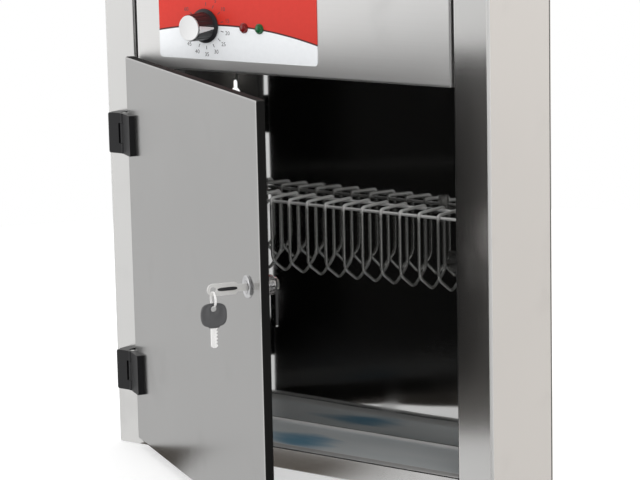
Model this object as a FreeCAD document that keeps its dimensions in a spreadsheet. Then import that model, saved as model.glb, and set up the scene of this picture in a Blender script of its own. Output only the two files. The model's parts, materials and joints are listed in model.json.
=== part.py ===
import FreeCAD, Part
import os
import re
import Sketcher
from FreeCAD import Vector

# Wall-hung cabinet that sterilises knives under an ultraviolet tube, in folded stainless sheet.
# Everything is drawn in the cabinet's own frame: X to the right, Y from the front face back to
# the wall, Z up from the base. The door's pieces are drawn with the door shut, from the hinge
# axis. Each piece is then set in the row's frame, whose origin lies on the wall plane midway
# between the two keyholes, with +Y into the wall.

document = FreeCAD.newDocument("KnifeSteriliser")
sheet = document.addObject("Spreadsheet::Sheet", "Sizes")

SHELL_SIZES = [
    ("body_width", 450),
    ("body_height", 560),
    ("body_depth", 104),
    ("gauge", 1.0),
    ("bend_radius", 2.0),
    ("stile_width", 38),
    ("stile_return", 12),
    ("rear_flange", 15),
    ("end_flange", 13),
    ("sheet_gap", 0.1),
    ("rail_height", 22),
    ("rail_return", 10),
    ("lip_height", 19),
    ("floor_height", 14),
    ("keyhole_height", 347.5),
    ("keyhole_spacing", 290),
    ("keyhole_entry_radius", 6),
    ("keyhole_slot_radius", 2.5),
    ("keyhole_rise", 11),
]

FASCIA_SIZES = [
    ("fascia_bottom", 383),
    ("fascia_gap", 2.5),
    ("fascia_depth", 12),
    ("ceiling_rise", 18),
    ("ceiling_foot_start", 3),
    ("label_inset", 30),
    ("label_width", 190.5),
    ("label_rise", 11.6),
    ("label_height", 130),
    ("label_gauge", 0.6),
    ("label_corner", 4),
    ("screw_radius", 2),
    ("screw_head_radius", 3.8),
    ("screw_head_height", 2.2),
    ("screw_length", 9),
    ("screw_spread", 130),
    ("hole_clearance", 0.2),
]

HINGE_SIZES = [
    ("hinge_inset", 30),
    ("hinge_axis_y", 10.5),
    ("hinge_from_top", 76),
    ("hinge_from_bottom", 69.6),
    ("hinge_height", 40),
    ("barrel_radius", 4.5),
    ("leaf_front", 3.5),
    ("leaf_start", 5.2),
    ("spacer_gap", 1),
    ("frame_leaf_end", 18),
    ("door_leaf_end", 27),
    ("leaf_corner", 2),
    ("knuckle_height", 10),
    ("knuckle_gap", 0.3),
    ("pin_radius", 2),
    ("running_gap", 0.05),
    ("fixed_gap", 0.02),
    ("stud_radius", 2),
    ("stud_spacing", 20),
    ("frame_stud_x", 12.5),
    ("door_stud_x", 15),
    ("frame_stud_reach", 7),
    ("door_stud_reach", 5.5),
    ("nut_flats", 7),
    ("nut_height", 3.2),
    ("nut_gap", 0.05),
]

DOOR_SIZES = [
    ("door_rest", 32.5),
    ("door_side_lap", 4),
    ("door_bottom", 9),
    ("door_top_lap", 11),
    ("door_face", 1.5),
    ("door_thickness", 8),
    ("liner_gauge", 0.8),
    ("liner_depth", 4.5),
    ("magnet_inset", 41),
    ("magnet_length", 20),
    ("magnet_height", 10),
    ("magnet_depth", 5),
    ("magnet_drop", 14),
]

LOCK_SIZES = [
    ("lock_inset", 32),
    ("lock_height", 228),
    ("bezel_radius", 10.2),
    ("bezel_height", 2.2),
    ("housing_radius", 9),
    ("housing_length", 22.5),
    ("plug_radius", 5.5),
    ("plug_tail_gap", 0.2),
    ("tenon_side", 6),
    ("cam_gauge", 2),
    ("cam_width", 13),
    ("cam_reach", 37),
    ("cam_heel", 7),
    ("cam_screw_radius", 2),
    ("cam_screw_length", 8),
    ("cam_screw_head_radius", 4.6),
    ("cam_screw_head_height", 2.4),
    ("lock_nut_flats", 24),
    ("lock_nut_height", 3.5),
    ("key_gauge", 1.5),
    ("key_blade_half", 3.2),
    ("key_blade_depth", 17),
    ("key_bow_half", 5.5),
    ("key_bow_start", 11),
    ("key_hole_out", 32),
    ("key_hole_radius", 2.75),
    ("key_gap", 0.1),
    ("ring_radius", 6.4),
    ("ring_wire_radius", 0.6),
    ("ring_gap", 0.3),
    ("spare_head_radius", 11.8),
    ("spare_head_half", 10.4),
    ("spare_head_gauge", 2.8),
    ("spare_hole_rise", 5.5),
    ("spare_blade_half", 3.2),
    ("spare_blade_length", 18.5),
    ("spare_tang", 5),
    ("bite_pitch", 3.1),
    ("bite_start", 0.5),
    ("bite_width", 2.6),
]

CONTROL_SIZES = [
    ("timer_inset", 57.5),
    ("timer_rise", 32.4),
    ("timer_bush_radius", 4.8),
    ("timer_bush_length", 5),
    ("timer_case_half", 23),
    ("timer_case_depth", 40),
    ("timer_shaft_radius", 3),
    ("timer_shaft_out", 20),
    ("timer_nut_flats", 14),
    ("timer_nut_height", 2),
    ("knob_stand_off", 0.8),
    ("knob_skirt_radius", 16.5),
    ("knob_skirt_height", 3),
    ("knob_hollow_radius", 10),
    ("knob_hollow_depth", 4),
    ("knob_radius", 13.6),
    ("knob_flutes", 14),
    ("flute_depth", 0.9),
    ("knob_height", 24),
    ("cap_rim", 1.4),
    ("cap_height", 1.4),
    ("pilot_red_inset", 104.5),
    ("pilot_spacing", 18.5),
    ("pilot_rise", 32.2),
    ("pilot_radius", 5),
    ("pilot_flange_height", 1.2),
    ("pilot_dome_height", 3),
    ("pilot_stem_radius", 3.8),
    ("pilot_stem_length", 18),
    ("pilot_case_radius", 5.6),
]

LAMP_SIZES = [
    ("tube_radius", 8),
    ("tube_length", 288),
    ("tube_y", 55),
    ("tube_drop", 10.5),
    ("tube_cap_length", 8),
    ("tube_cap_wall", 0.3),
    ("tube_pin_radius", 1.2),
    ("tube_pin_spacing", 5),
    ("tube_pin_length", 7),
    ("holder_width", 22),
    ("holder_height", 21),
    ("holder_depth", 14),
    ("holder_gap", 0.3),
    ("holder_socket_radius", 4.2),
    ("holder_spigot_radius", 4),
    ("reflector_gauge", 0.8),
    ("reflector_top_half", 14),
    ("reflector_foot_half", 28),
    ("reflector_height", 14),
    ("ballast_x", 5),
    ("ballast_length", 112),
    ("ballast_width", 40),
    ("ballast_height", 28),
    ("ballast_foot", 12),
    ("ballast_foot_gauge", 2),
    ("gear_y", 72),
    ("starter_x", 20),
    ("starter_radius", 10.5),
    ("starter_length", 36),
    ("socket_half", 14),
    ("socket_height", 10),
    ("terminal_inset", 35),
    ("terminal_pitch", 10),
    ("terminal_ways", 4),
    ("terminal_depth", 20),
    ("terminal_height", 15),
    ("switch_length", 40),
    ("switch_depth", 8),
    ("switch_height", 12),
    ("switch_rise", 2.4),
    ("gland_inset", 45),
    ("gland_y", 80),
    ("gland_bore_radius", 3.6),
    ("gland_thread_radius", 6),
    ("gland_flats", 16),
    ("gland_hex_height", 6),
    ("gland_dome_height", 7),
    ("gland_slope", 2.5),
    ("gland_nut_height", 3),
]

RACK_SIZES = [
    ("tray_side_gap", 2.5),
    ("tray_height", 6),
    ("tray_corner", 4),
    ("tray_back_gap", 0.8),
    ("wire_radius", 1.5),
    ("hoop_front", 45),
    ("hoop_back", 88),
    ("hoop_top", 256),
    ("hoop_shoulder", 195),
    ("hoop_toe_y", 67),
    ("hoop_toe", 180),
    ("hoop_pitch", 21.8),
    ("hoop_count", 16),
    ("rack_shift", 3.8),
    ("rail_overhang", 6),
    ("hook_gauge", 1.5),
    ("hook_width", 10),
    ("hook_gap", 0.3),
    ("hook_lip", 3),
    ("hook_plate_up", 11),
    ("hook_plate_down", 15),
    ("hook_bay", 5),
    ("stay_height", 201),
    ("stay_plate", 10),
]

# What the cabinet's other sizes are worked out from, in the words of the sheet.
WORKED = {
    "half_width": "body_width / 2",
    "opening_half": "half_width - stile_width",
    "side_inner": "half_width - gauge",
    "back_inner": "body_depth - gauge",
    "flange_front": "back_inner - gauge",
    "inner_bend": "bend_radius - gauge",
    "fascia_half": "opening_half - fascia_gap",
    "fascia_top": "body_height - lip_height",
    "ceiling_height": "fascia_bottom + ceiling_rise",
    "label_left": "fascia_half - label_inset",
    "label_right": "label_width - label_left",
    "label_bottom": "fascia_bottom + label_rise",
    "apron_front": "stile_return",
    "wing_start": "stile_return + gauge",
    "wing_end": "flange_front - bend_radius",
    "wing_half": "side_inner - sheet_gap",
    "floor_top": "floor_height + gauge",
    "ceiling_top": "ceiling_height + gauge",
    "foot_half": "fascia_half - gauge - sheet_gap * 2",
    "screw_hole": "screw_radius + hole_clearance",
    "stud_hole": "stud_radius + hole_clearance",
    "hinge_axis_x": "half_width - hinge_inset",
    "hinge_upper": "door_top - hinge_from_top",
    "hinge_lower": "door_bottom + hinge_from_bottom",
    "pin_hole": "pin_radius + running_gap",
    "knuckle_half": "hinge_height / 2 - knuckle_height",
    "door_knuckle_half": "knuckle_half - knuckle_gap",
    "door_back": "door_face + door_thickness",
    "door_half": "opening_half + door_side_lap",
    "door_edge": "hinge_axis_x - door_half",
    "door_end": "hinge_axis_x + door_half",
    "door_top": "fascia_bottom + door_top_lap",
    "magnet_x": "door_end - magnet_inset",
    "lock_x": "door_end - lock_inset",
    "lock_hole": "housing_radius + hole_clearance",
    "plug_bore": "plug_radius + running_gap",
    "cam_back": "housing_length + plug_tail_gap",
    "cam_front": "cam_back + cam_gauge",
    "key_slot": "key_gauge / 2 + key_gap",
    "ring_top": "lock_height - key_hole_radius + ring_wire_radius + ring_gap",
    "ring_bottom": "ring_top - ring_radius * 2",
    "spare_hole": "ring_bottom + ring_wire_radius + ring_gap - key_hole_radius",
    "spare_centre": "spare_hole - spare_hole_rise",
    "key_plane": "door_face - key_hole_out",
    "label_face": "-label_gauge",
    "timer_x": "label_left - timer_inset",
    "timer_height": "label_bottom + timer_rise",
    "pilot_red_x": "label_left - pilot_red_inset",
    "pilot_green_x": "pilot_red_x - pilot_spacing",
    "pilot_height": "label_bottom + pilot_rise",
    "cap_radius": "knob_radius - cap_rim",
    "bush_hole": "timer_bush_radius + hole_clearance",
    "pilot_hole": "pilot_stem_radius + hole_clearance",
    "shaft_bore": "timer_shaft_radius + running_gap",
    "tube_height": "ceiling_height - tube_drop",
    "tube_end": "tube_length / 2",
    "reflector_foot": "ceiling_height - reflector_height",
    "tray_half": "opening_half - tray_side_gap",
    "tray_front": "wing_start",
    "tray_back": "back_inner - tray_back_gap",
    "rack_rail_front": "hoop_front + wire_radius * 2",
    "rack_rail_back": "hoop_back - wire_radius * 2",
    "rack_rail_height": "hoop_top - wire_radius * 2",
    "rack_half": "hoop_pitch * (hoop_count - 1) / 2",
    "terminal_x": "half_width - terminal_inset",
    "gland_x": "half_width - gland_inset",
    "hook_seat": "rack_rail_height - wire_radius - hook_gap",
    "hook_lip_back": "rack_rail_back - wire_radius - hook_gap",
    "stay_front": "hoop_back + wire_radius + hook_gap",
}

UPRIGHT = "rotation(vector(0; 0; 1); 0)"
FACING_OUT = "rotation(vector(1; 0; 0); 90)"
CABINET = f"placement(vector(0; -body_depth; -keyhole_height); {UPRIGHT})"
DOOR = CABINET + (" * placement(vector(-hinge_axis_x; -hinge_axis_y; 0);"
                  " rotation(vector(0; 0; 1); -door_rest))")

SCREW_PLACES = ("-screw_spread", "screw_spread")
FASCIA_HOLES = (("-timer_x", "timer_height", "bush_hole"),
                ("-pilot_red_x", "pilot_height", "pilot_hole"),
                ("-pilot_green_x", "pilot_height", "pilot_hole"))

KEY_BITES = (0.9, 1.7, 1.2, 2.0, 1.4)

sizes = {}
pieces = []


def write_sheet():
    """Write each driving size into the sheet, one row with its name as the cell's alias."""
    groups = (SHELL_SIZES, FASCIA_SIZES, HINGE_SIZES, DOOR_SIZES, LOCK_SIZES,
              CONTROL_SIZES, LAMP_SIZES, RACK_SIZES)
    for group in groups:
        for name, number in group:
            sizes[name] = number
            row = len(sizes)
            sheet.set(f"A{row}", name)
            sheet.set(f"B{row}", str(number))
            sheet.setAlias(f"B{row}", name)
    document.recompute()


def spell(text):
    """Write a size out for the expression engine: worked names opened up, cells addressed."""
    def word(match):
        name = match.group(0)
        if name in WORKED:
            return f"({spell(WORKED[name])})"
        return f"Sizes.{name}" if name in sizes else name
    return re.sub(r"[a-z_]+", word, str(text))


def number_of(text):
    return float(sheet.evalExpression(spell(text)))


def piece(label):
    """A new sub-part, whose label names its file."""
    thing = document.addObject("PartDesign::Body", label)
    thing.Label = label
    pieces.append(thing)
    return thing


def place(thing, frame=CABINET, x="0", y="0", z="0", turn=UPRIGHT):
    where = f"{frame} * placement(vector({x}; {y}; {z}); {turn})"
    thing.setExpression("Placement", spell(where))


def sketch(owner, plane, offset="0"):
    """A sketch on one of the body's own planes, moved along that plane's normal."""
    drawn = owner.newObject("Sketcher::SketchObject", "Outline")
    support = [item for item in owner.Origin.OriginFeatures if item.Role == plane]
    drawn.AttachmentSupport = (support[0], "")
    drawn.MapMode = "FlatFace"
    drawn.setExpression("AttachmentOffset.Base.z", spell(offset))
    return drawn


def pin_point(drawn, index, end, x, y):
    """Hold one point of a sketch at its two sizes from the sketch's origin."""
    for kind, text in (("DistanceX", x), ("DistanceY", y)):
        made = drawn.addConstraint(Sketcher.Constraint(kind, -1, 1, index, end, number_of(text)))
        drawn.setExpression(f"Constraints[{made}]", spell(text))


def draw_outline(drawn, points):
    """A closed outline of straight lines through the points."""
    corners = [Vector(number_of(x), number_of(y), 0) for x, y in points]
    count = len(corners)
    for index in range(count):
        drawn.addGeometry(Part.LineSegment(corners[index], corners[(index + 1) % count]), False)
    for index in range(count):
        follower = (index + 1) % count
        drawn.addConstraint(Sketcher.Constraint("Coincident", index, 2, follower, 1))
    for index, (x, y) in enumerate(points):
        pin_point(drawn, index, 1, x, y)


def draw_circle(drawn, x, y, radius):
    centre = Vector(number_of(x), number_of(y), 0)
    index = drawn.addGeometry(Part.Circle(centre, Vector(0, 0, 1), number_of(radius)), False)
    made = drawn.addConstraint(Sketcher.Constraint("Radius", index, number_of(radius)))
    drawn.setExpression(f"Constraints[{made}]", spell(radius))
    pin_point(drawn, index, 3, x, y)


def draw(drawn, shape):
    """Draw an outline, or a circle when the shape is (x, y, radius)."""
    if isinstance(shape, tuple):
        draw_circle(drawn, *shape)
    else:
        draw_outline(drawn, shape)


def rectangle(x_low, x_high, y_low, y_high):
    return [(x_low, y_low), (x_high, y_low), (x_high, y_high), (x_low, y_high)]


def polygon(sides, flats, x="0", y="0"):
    """Corners of a regular polygon about a centre, from the distance across its flats."""
    reach = f"({flats}) / 2 / cos({180 / sides})"
    return [(f"{x} + {reach} * cos({(turn + 0.5) * 360 / sides})",
             f"{y} + {reach} * sin({(turn + 0.5) * 360 / sides})") for turn in range(sides)]


def peg(x, y, radius):
    """An eight-sided outline that stands in for a small hidden round stud or bore."""
    return polygon(8, f"({radius}) * 2", x, y)


def add(owner, plane, shape, low, high):
    """Pad a shape between two heights along the plane's axis."""
    facing = plane == "XZ_Plane"
    drawn = sketch(owner, plane, f"-({high})" if facing else low)
    draw(drawn, shape)
    feature = owner.newObject("PartDesign::Pad", "Pad")
    feature.Profile = drawn
    feature.setExpression("Length", spell(f"({high}) - ({low})"))
    return feature


def cut(owner, plane, shape, low, high):
    """Pocket a shape between two heights along the plane's axis, and see that it removes some."""
    document.recompute()
    before = owner.Shape.Volume
    facing = plane == "XZ_Plane"
    drawn = sketch(owner, plane, f"-({low})" if facing else high)
    draw(drawn, shape)
    feature = owner.newObject("PartDesign::Pocket", "Pocket")
    feature.Profile = drawn
    feature.setExpression("Length", spell(f"({high}) - ({low})"))
    document.recompute()
    if owner.Shape.Volume >= before:
        raise RuntimeError(f"{owner.Label}: a pocket removes nothing")
    return feature


def turn(owner, points):
    """Revolve an outline of (radius, height) points about the local Z axis."""
    drawn = sketch(owner, "XZ_Plane")
    draw_outline(drawn, points)
    feature = owner.newObject("PartDesign::Revolution", "Turning")
    feature.Profile = drawn
    feature.ReferenceAxis = (drawn, ["V_Axis"])
    feature.Angle = 360
    return feature


def soften(owner, along, places, radius, kind="Fillet"):
    """Round or chamfer the straight edges that run along an axis through the given places."""
    document.recompute()
    base = owner.Tip
    keep = [axis for axis in "xyz" if axis != along]
    wanted = [(number_of(a), number_of(b)) for a, b in places]
    names = []
    for index, edge in enumerate(base.Shape.Edges, 1):
        box = edge.BoundBox
        spans = {"x": box.XLength, "y": box.YLength, "z": box.ZLength}
        if spans[along] < 0.5 or max(spans[axis] for axis in keep) > 0.01:
            continue
        centre = {"x": box.Center.x, "y": box.Center.y, "z": box.Center.z}
        here = [centre[axis] for axis in keep]
        if any(abs(here[0] - a) + abs(here[1] - b) < 0.02 for a, b in wanted):
            names.append(f"Edge{index}")
    if len(names) < len(places):
        raise RuntimeError(f"{owner.Label}: an edge to soften wasn't found")
    feature = owner.newObject(f"PartDesign::{kind}", kind)
    feature.Base = (base, names)
    feature.setExpression("Radius" if kind == "Fillet" else "Size", spell(radius))
    return feature


def mirrored(side, x):
    """A size to the left (-1) or right (1) of the cabinet's middle."""
    return f"{side} * ({x})"


def side_panel(label, side, hinge_heights):
    """Side, stile, return and rear flange, folded from one sheet."""
    panel = piece(label)
    outer = [("opening_half", "stile_return"), ("opening_half", "0"), ("half_width", "0"),
             ("half_width", "back_inner"), ("half_width - rear_flange", "back_inner")]
    inner = [("half_width - rear_flange", "flange_front"), ("side_inner", "flange_front"),
             ("side_inner", "gauge"), ("opening_half + gauge", "gauge"),
             ("opening_half + gauge", "stile_return")]
    add(panel, "XY_Plane", [(mirrored(side, x), y) for x, y in outer + inner], "0", "body_height")
    soften(panel, "z", [(mirrored(side, x), y) for x, y in outer[1:4]], "bend_radius")
    soften(panel, "z", [(mirrored(side, x), y) for x, y in inner[1:4]], "inner_bend")
    for height in hinge_heights:
        for end in (-1, 1):
            hole = peg("-hinge_axis_x - frame_stud_x", f"{height} + {end} * stud_spacing / 2",
                       "stud_hole")
            cut(panel, "XZ_Plane", hole, "-gauge", "gauge * 2")
    place(panel)


def end_panel(label, base, inward, front_height, front_return, hole=None):
    """Base or top of the cabinet, with its front rail, rear flange and side flanges."""
    panel = piece(label)

    def level(rise):
        return f"{base} + {inward} * ({rise})"

    rail = [(front_return, front_height), ("0", front_height), ("0", "0"), ("flange_front", "0"),
            ("flange_front", "end_flange"), ("flange_front - gauge", "end_flange"),
            ("flange_front - gauge", "gauge"), ("gauge", "gauge"),
            ("gauge", f"{front_height} - gauge"), (front_return, f"{front_height} - gauge")]
    half = "opening_half - sheet_gap"
    add(panel, "YZ_Plane", [(y, level(z)) for y, z in rail], f"-({half})", half)
    soften(panel, "x", [(y, level(z)) for y, z in rail[1:4]], "bend_radius")
    soften(panel, "x", [(y, level(z)) for y, z in rail[6:9]], "inner_bend")
    for side in (-1, 1):
        plate = rectangle(mirrored(side, f"{half} - gauge"), mirrored(side, "wing_half"),
                          "wing_start", "wing_end")
        flange = rectangle(mirrored(side, "wing_half - gauge"), mirrored(side, "wing_half"),
                           "wing_start", "wing_end")
        low, high = (level("0"), level("gauge")) if inward > 0 else (level("gauge"), level("0"))
        add(panel, "XY_Plane", plate, low, high)
        low, high = ((level("0"), level("end_flange")) if inward > 0
                     else (level("end_flange"), level("0")))
        add(panel, "XY_Plane", flange, low, high)
    if hole:
        cut(panel, "XY_Plane", hole, level("gauge * 2"), level("-gauge"))
    place(panel)
    return panel


def back_panel():
    """Polished back wall with the two keyholes that hang the cabinet."""
    panel = piece("back_panel")
    add(panel, "XZ_Plane", rectangle("-half_width", "half_width", "0", "body_height"),
        "back_inner", "body_depth")
    for side in (-1, 1):
        across = mirrored(side, "keyhole_spacing / 2")
        low, high = "back_inner - gauge", "body_depth + gauge"
        rise = "keyhole_height + keyhole_rise"
        cut(panel, "XZ_Plane", (across, "keyhole_height", "keyhole_entry_radius"), low, high)
        cut(panel, "XZ_Plane", (across, rise, "keyhole_slot_radius"), low, high)
        slot = rectangle(f"{across} - keyhole_slot_radius", f"{across} + keyhole_slot_radius",
                         "keyhole_height", rise)
        cut(panel, "XZ_Plane", slot, low, high)
    place(panel)


def floor_panel():
    """Raised floor on two folded legs, which carries the drip tray."""
    panel = piece("floor_panel")
    outline = [("wing_start", "gauge"), ("wing_start", "floor_top"), ("wing_end", "floor_top"),
               ("wing_end", "gauge"), ("wing_end - gauge", "gauge"),
               ("wing_end - gauge", "floor_height"), ("wing_start + gauge", "floor_height"),
               ("wing_start + gauge", "gauge")]
    half = "wing_half - gauge - sheet_gap"
    add(panel, "YZ_Plane", outline, f"-({half})", half)
    soften(panel, "x", outline[1:3], "bend_radius")
    soften(panel, "x", outline[5:7], "inner_bend")
    place(panel)


def chamber_ceiling():
    """Folded plate between the chamber and the control compartment."""
    panel = piece("chamber_ceiling")
    foot = "fascia_bottom + gauge"
    outline = [("ceiling_foot_start", foot), ("apron_front + gauge", foot),
               ("apron_front + gauge", "ceiling_height"), ("flange_front", "ceiling_height"),
               ("flange_front", "ceiling_top + end_flange"),
               ("flange_front - gauge", "ceiling_top + end_flange"),
               ("flange_front - gauge", "ceiling_top"), ("apron_front", "ceiling_top"),
               ("apron_front", f"{foot} + gauge"), ("ceiling_foot_start", f"{foot} + gauge")]
    add(panel, "YZ_Plane", outline, "-foot_half", "foot_half")
    soften(panel, "x", [outline[1], outline[3], outline[7]], "bend_radius")
    soften(panel, "x", [outline[2], outline[6], outline[8]], "inner_bend")
    for side in (-1, 1):
        plate = rectangle(mirrored(side, "foot_half - gauge"), mirrored(side, "wing_half"),
                          "wing_start + gauge", "wing_end")
        flange = rectangle(mirrored(side, "wing_half - gauge"), mirrored(side, "wing_half"),
                           "wing_start + gauge", "wing_end")
        add(panel, "XY_Plane", plate, "ceiling_height", "ceiling_top")
        add(panel, "XY_Plane", flange, "ceiling_height", "ceiling_top + end_flange")
        hole = peg(mirrored(side, "tube_end + holder_gap + holder_depth / 2"), "tube_y",
                   "holder_spigot_radius + hole_clearance")
        cut(panel, "XY_Plane", hole, "ceiling_height - gauge", "ceiling_top + gauge")
    place(panel)


def fascia():
    """Front of the control compartment: a pan whose four rims fold back."""
    panel = piece("fascia")
    add(panel, "XZ_Plane", rectangle("-fascia_half", "fascia_half", "fascia_bottom", "fascia_top"),
        "0", "fascia_depth")
    soften(panel, "z", [("-fascia_half", "0"), ("fascia_half", "0")], "bend_radius")
    soften(panel, "x", [("0", "fascia_bottom"), ("0", "fascia_top")], "bend_radius")
    inner = rectangle("-fascia_half + gauge", "fascia_half - gauge", "fascia_bottom + gauge",
                      "fascia_top - gauge")
    cut(panel, "XZ_Plane", inner, "gauge", "fascia_depth + gauge")
    for hole in FASCIA_HOLES:
        cut(panel, "XZ_Plane", hole, "-gauge", "gauge * 2")
    for across in SCREW_PLACES:
        cut(panel, "XY_Plane", peg(across, "fascia_depth / 2", "screw_hole"),
            "fascia_top - gauge * 2", "fascia_top + gauge")
    place(panel)


def control_label():
    """Printed plate behind the knob and the two pilot lights."""
    label = piece("control_label")
    outline = rectangle("-label_left", "label_right", "label_bottom",
                        "label_bottom + label_height")
    add(label, "XZ_Plane", outline, "label_face", "0")
    soften(label, "y", outline, "label_corner")
    for hole in FASCIA_HOLES:
        cut(label, "XZ_Plane", hole, "label_face - gauge", "gauge")
    place(label)


def fascia_screws():
    """Pan-head screws down through the top panel's return and the fascia's upper rim."""
    screws = piece("fascia_screws")
    for across in SCREW_PLACES:
        head = polygon(12, "screw_head_radius * 2", across, "fascia_depth / 2")
        shank = peg(across, "fascia_depth / 2", "screw_radius")
        add(screws, "XY_Plane", head, "fascia_top + gauge",
            "fascia_top + gauge + screw_head_height")
        add(screws, "XY_Plane", shank, "fascia_top - screw_length", "fascia_top + gauge * 2")
    place(screws)


def hinge(name, height):
    """One moulded hinge: frame leaf on its spacer, door leaf between its knuckles, pin, nuts."""
    rise = "hinge_height / 2"
    frame = piece(f"hinge_{name}_frame_leaf")
    plate = rectangle("-frame_leaf_end", "-leaf_start", "-leaf_front", "door_face")
    web = rectangle("-leaf_start", "0", "-leaf_front", "door_face")
    add(frame, "XY_Plane", plate, f"-{rise}", rise)
    soften(frame, "y", [("-frame_leaf_end", f"-{rise}"), ("-frame_leaf_end", rise)],
           "leaf_corner")
    for low, high in ((f"-{rise}", "-knuckle_half"), ("knuckle_half", rise)):
        add(frame, "XY_Plane", web, low, high)
        add(frame, "XY_Plane", ("0", "0", "barrel_radius"), low, high)
    cut(frame, "XY_Plane", ("0", "0", "pin_radius + fixed_gap"), f"-{rise} - gauge",
        f"{rise} + gauge")
    for end in (-1, 1):
        stud = peg("-frame_stud_x", f"{end} * stud_spacing / 2", "stud_radius")
        add(frame, "XZ_Plane", stud, "0", "hinge_axis_y + frame_stud_reach")
    hinge_place(frame, height)

    door = piece(f"hinge_{name}_door_leaf")
    plate = rectangle("leaf_start", "door_leaf_end", "-leaf_front", "door_face")
    web = rectangle("0", "leaf_start", "-leaf_front", "door_face")
    add(door, "XY_Plane", plate, f"-{rise}", rise)
    soften(door, "y", [("door_leaf_end", f"-{rise}"), ("door_leaf_end", rise)], "leaf_corner")
    add(door, "XY_Plane", web, "-door_knuckle_half", "door_knuckle_half")
    add(door, "XY_Plane", ("0", "0", "barrel_radius"), "-door_knuckle_half",
        "door_knuckle_half")
    cut(door, "XY_Plane", ("0", "0", "pin_hole"), "-knuckle_half", "knuckle_half")
    for end in (-1, 1):
        stud = peg("door_stud_x", f"{end} * stud_spacing / 2", "stud_radius")
        add(door, "XZ_Plane", stud, "0", "door_face + door_stud_reach")
    place(door, DOOR, z=height)

    pin = piece(f"hinge_{name}_pin")
    add(pin, "XY_Plane", ("0", "0", "pin_radius"), f"-{rise}", rise)
    hinge_place(pin, height)


def hinge_place(thing, height):
    place(thing, x="-hinge_axis_x", y="-hinge_axis_y", z=height)


def hinge_spacers():
    """Moulded blocks that bring the frame leaves out to the door's face."""
    blocks = piece("hinge_spacers")
    for height in ("hinge_upper", "hinge_lower"):
        low, high = f"{height} - hinge_height / 2", f"{height} + hinge_height / 2"
        outline = rectangle("-hinge_axis_x - frame_leaf_end",
                            "-hinge_axis_x - leaf_start - spacer_gap",
                            "-hinge_axis_y + door_face", "0")
        add(blocks, "XY_Plane", outline, low, high)
        for end in (-1, 1):
            hole = peg("-hinge_axis_x - frame_stud_x", f"{height} + {end} * stud_spacing / 2",
                       "stud_hole")
            cut(blocks, "XZ_Plane", hole, "-hinge_axis_y", "gauge")
    place(blocks)


def stud_nuts(label, frame, across, low):
    """Hexagon nuts on the hinge studs, behind the sheet that they clamp."""
    nuts = piece(label)
    for height in ("hinge_upper", "hinge_lower"):
        for end in (-1, 1):
            centre = f"{height} + {end} * stud_spacing / 2"
            add(nuts, "XZ_Plane", polygon(6, "nut_flats", across, centre), low,
                f"{low} + nut_height")
            cut(nuts, "XZ_Plane", peg(across, centre, "stud_radius + nut_gap"),
                f"{low} - gauge", f"{low} + nut_height + gauge")
    place(nuts, frame)


def door_skin():
    """Outer pan of the door, with its rims folded back."""
    skin = piece("door_skin")
    add(skin, "XZ_Plane", rectangle("door_edge", "door_end", "door_bottom", "door_top"),
        "door_face", "door_back")
    soften(skin, "z", [("door_edge", "door_face"), ("door_end", "door_face")], "bend_radius")
    soften(skin, "x", [("door_face", "door_bottom"), ("door_face", "door_top")], "bend_radius")
    inner = rectangle("door_edge + gauge", "door_end - gauge", "door_bottom + gauge",
                      "door_top - gauge")
    cut(skin, "XZ_Plane", inner, "door_face + gauge", "door_back + gauge")
    cut(skin, "XZ_Plane", ("lock_x", "lock_height", "lock_hole"), "0", "door_face + gauge * 2")
    for height in ("hinge_upper", "hinge_lower"):
        for end in (-1, 1):
            hole = peg("door_stud_x", f"{height} + {end} * stud_spacing / 2", "stud_hole")
            cut(skin, "XZ_Plane", hole, "0", "door_face + gauge * 2")
    place(skin, DOOR)


def door_liner():
    """Inner pan that closes the door's back."""
    liner = piece("door_liner")
    left, right = "door_edge + gauge + fixed_gap", "door_end - gauge - fixed_gap"
    low, high = "door_bottom + gauge + fixed_gap", "door_top - gauge - fixed_gap"
    add(liner, "XZ_Plane", rectangle(left, right, low, high), "door_back - liner_depth",
        "door_back")
    inner = rectangle(f"{left} + liner_gauge", f"{right} - liner_gauge", f"{low} + liner_gauge",
                      f"{high} - liner_gauge")
    cut(liner, "XZ_Plane", inner, "door_back - liner_depth - gauge", "door_back - liner_gauge")
    cut(liner, "XZ_Plane", ("lock_x", "lock_height", "lock_hole"), "door_back - gauge * 2",
        "door_back + gauge")
    place(liner, DOOR)


def door_magnet():
    """Magnet on the liner, which works the reed switch behind the fascia."""
    magnet = piece("door_magnet")
    top = "door_top - magnet_drop + magnet_height"
    outline = rectangle("magnet_x - magnet_length / 2", "magnet_x + magnet_length / 2",
                        "door_top - magnet_drop", top)
    add(magnet, "XZ_Plane", outline, "door_back - liner_gauge - magnet_depth",
        "door_back - liner_gauge")
    place(magnet, DOOR)


def lock_place(thing):
    place(thing, DOOR, "lock_x", "door_face", "lock_height", FACING_OUT)


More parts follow.
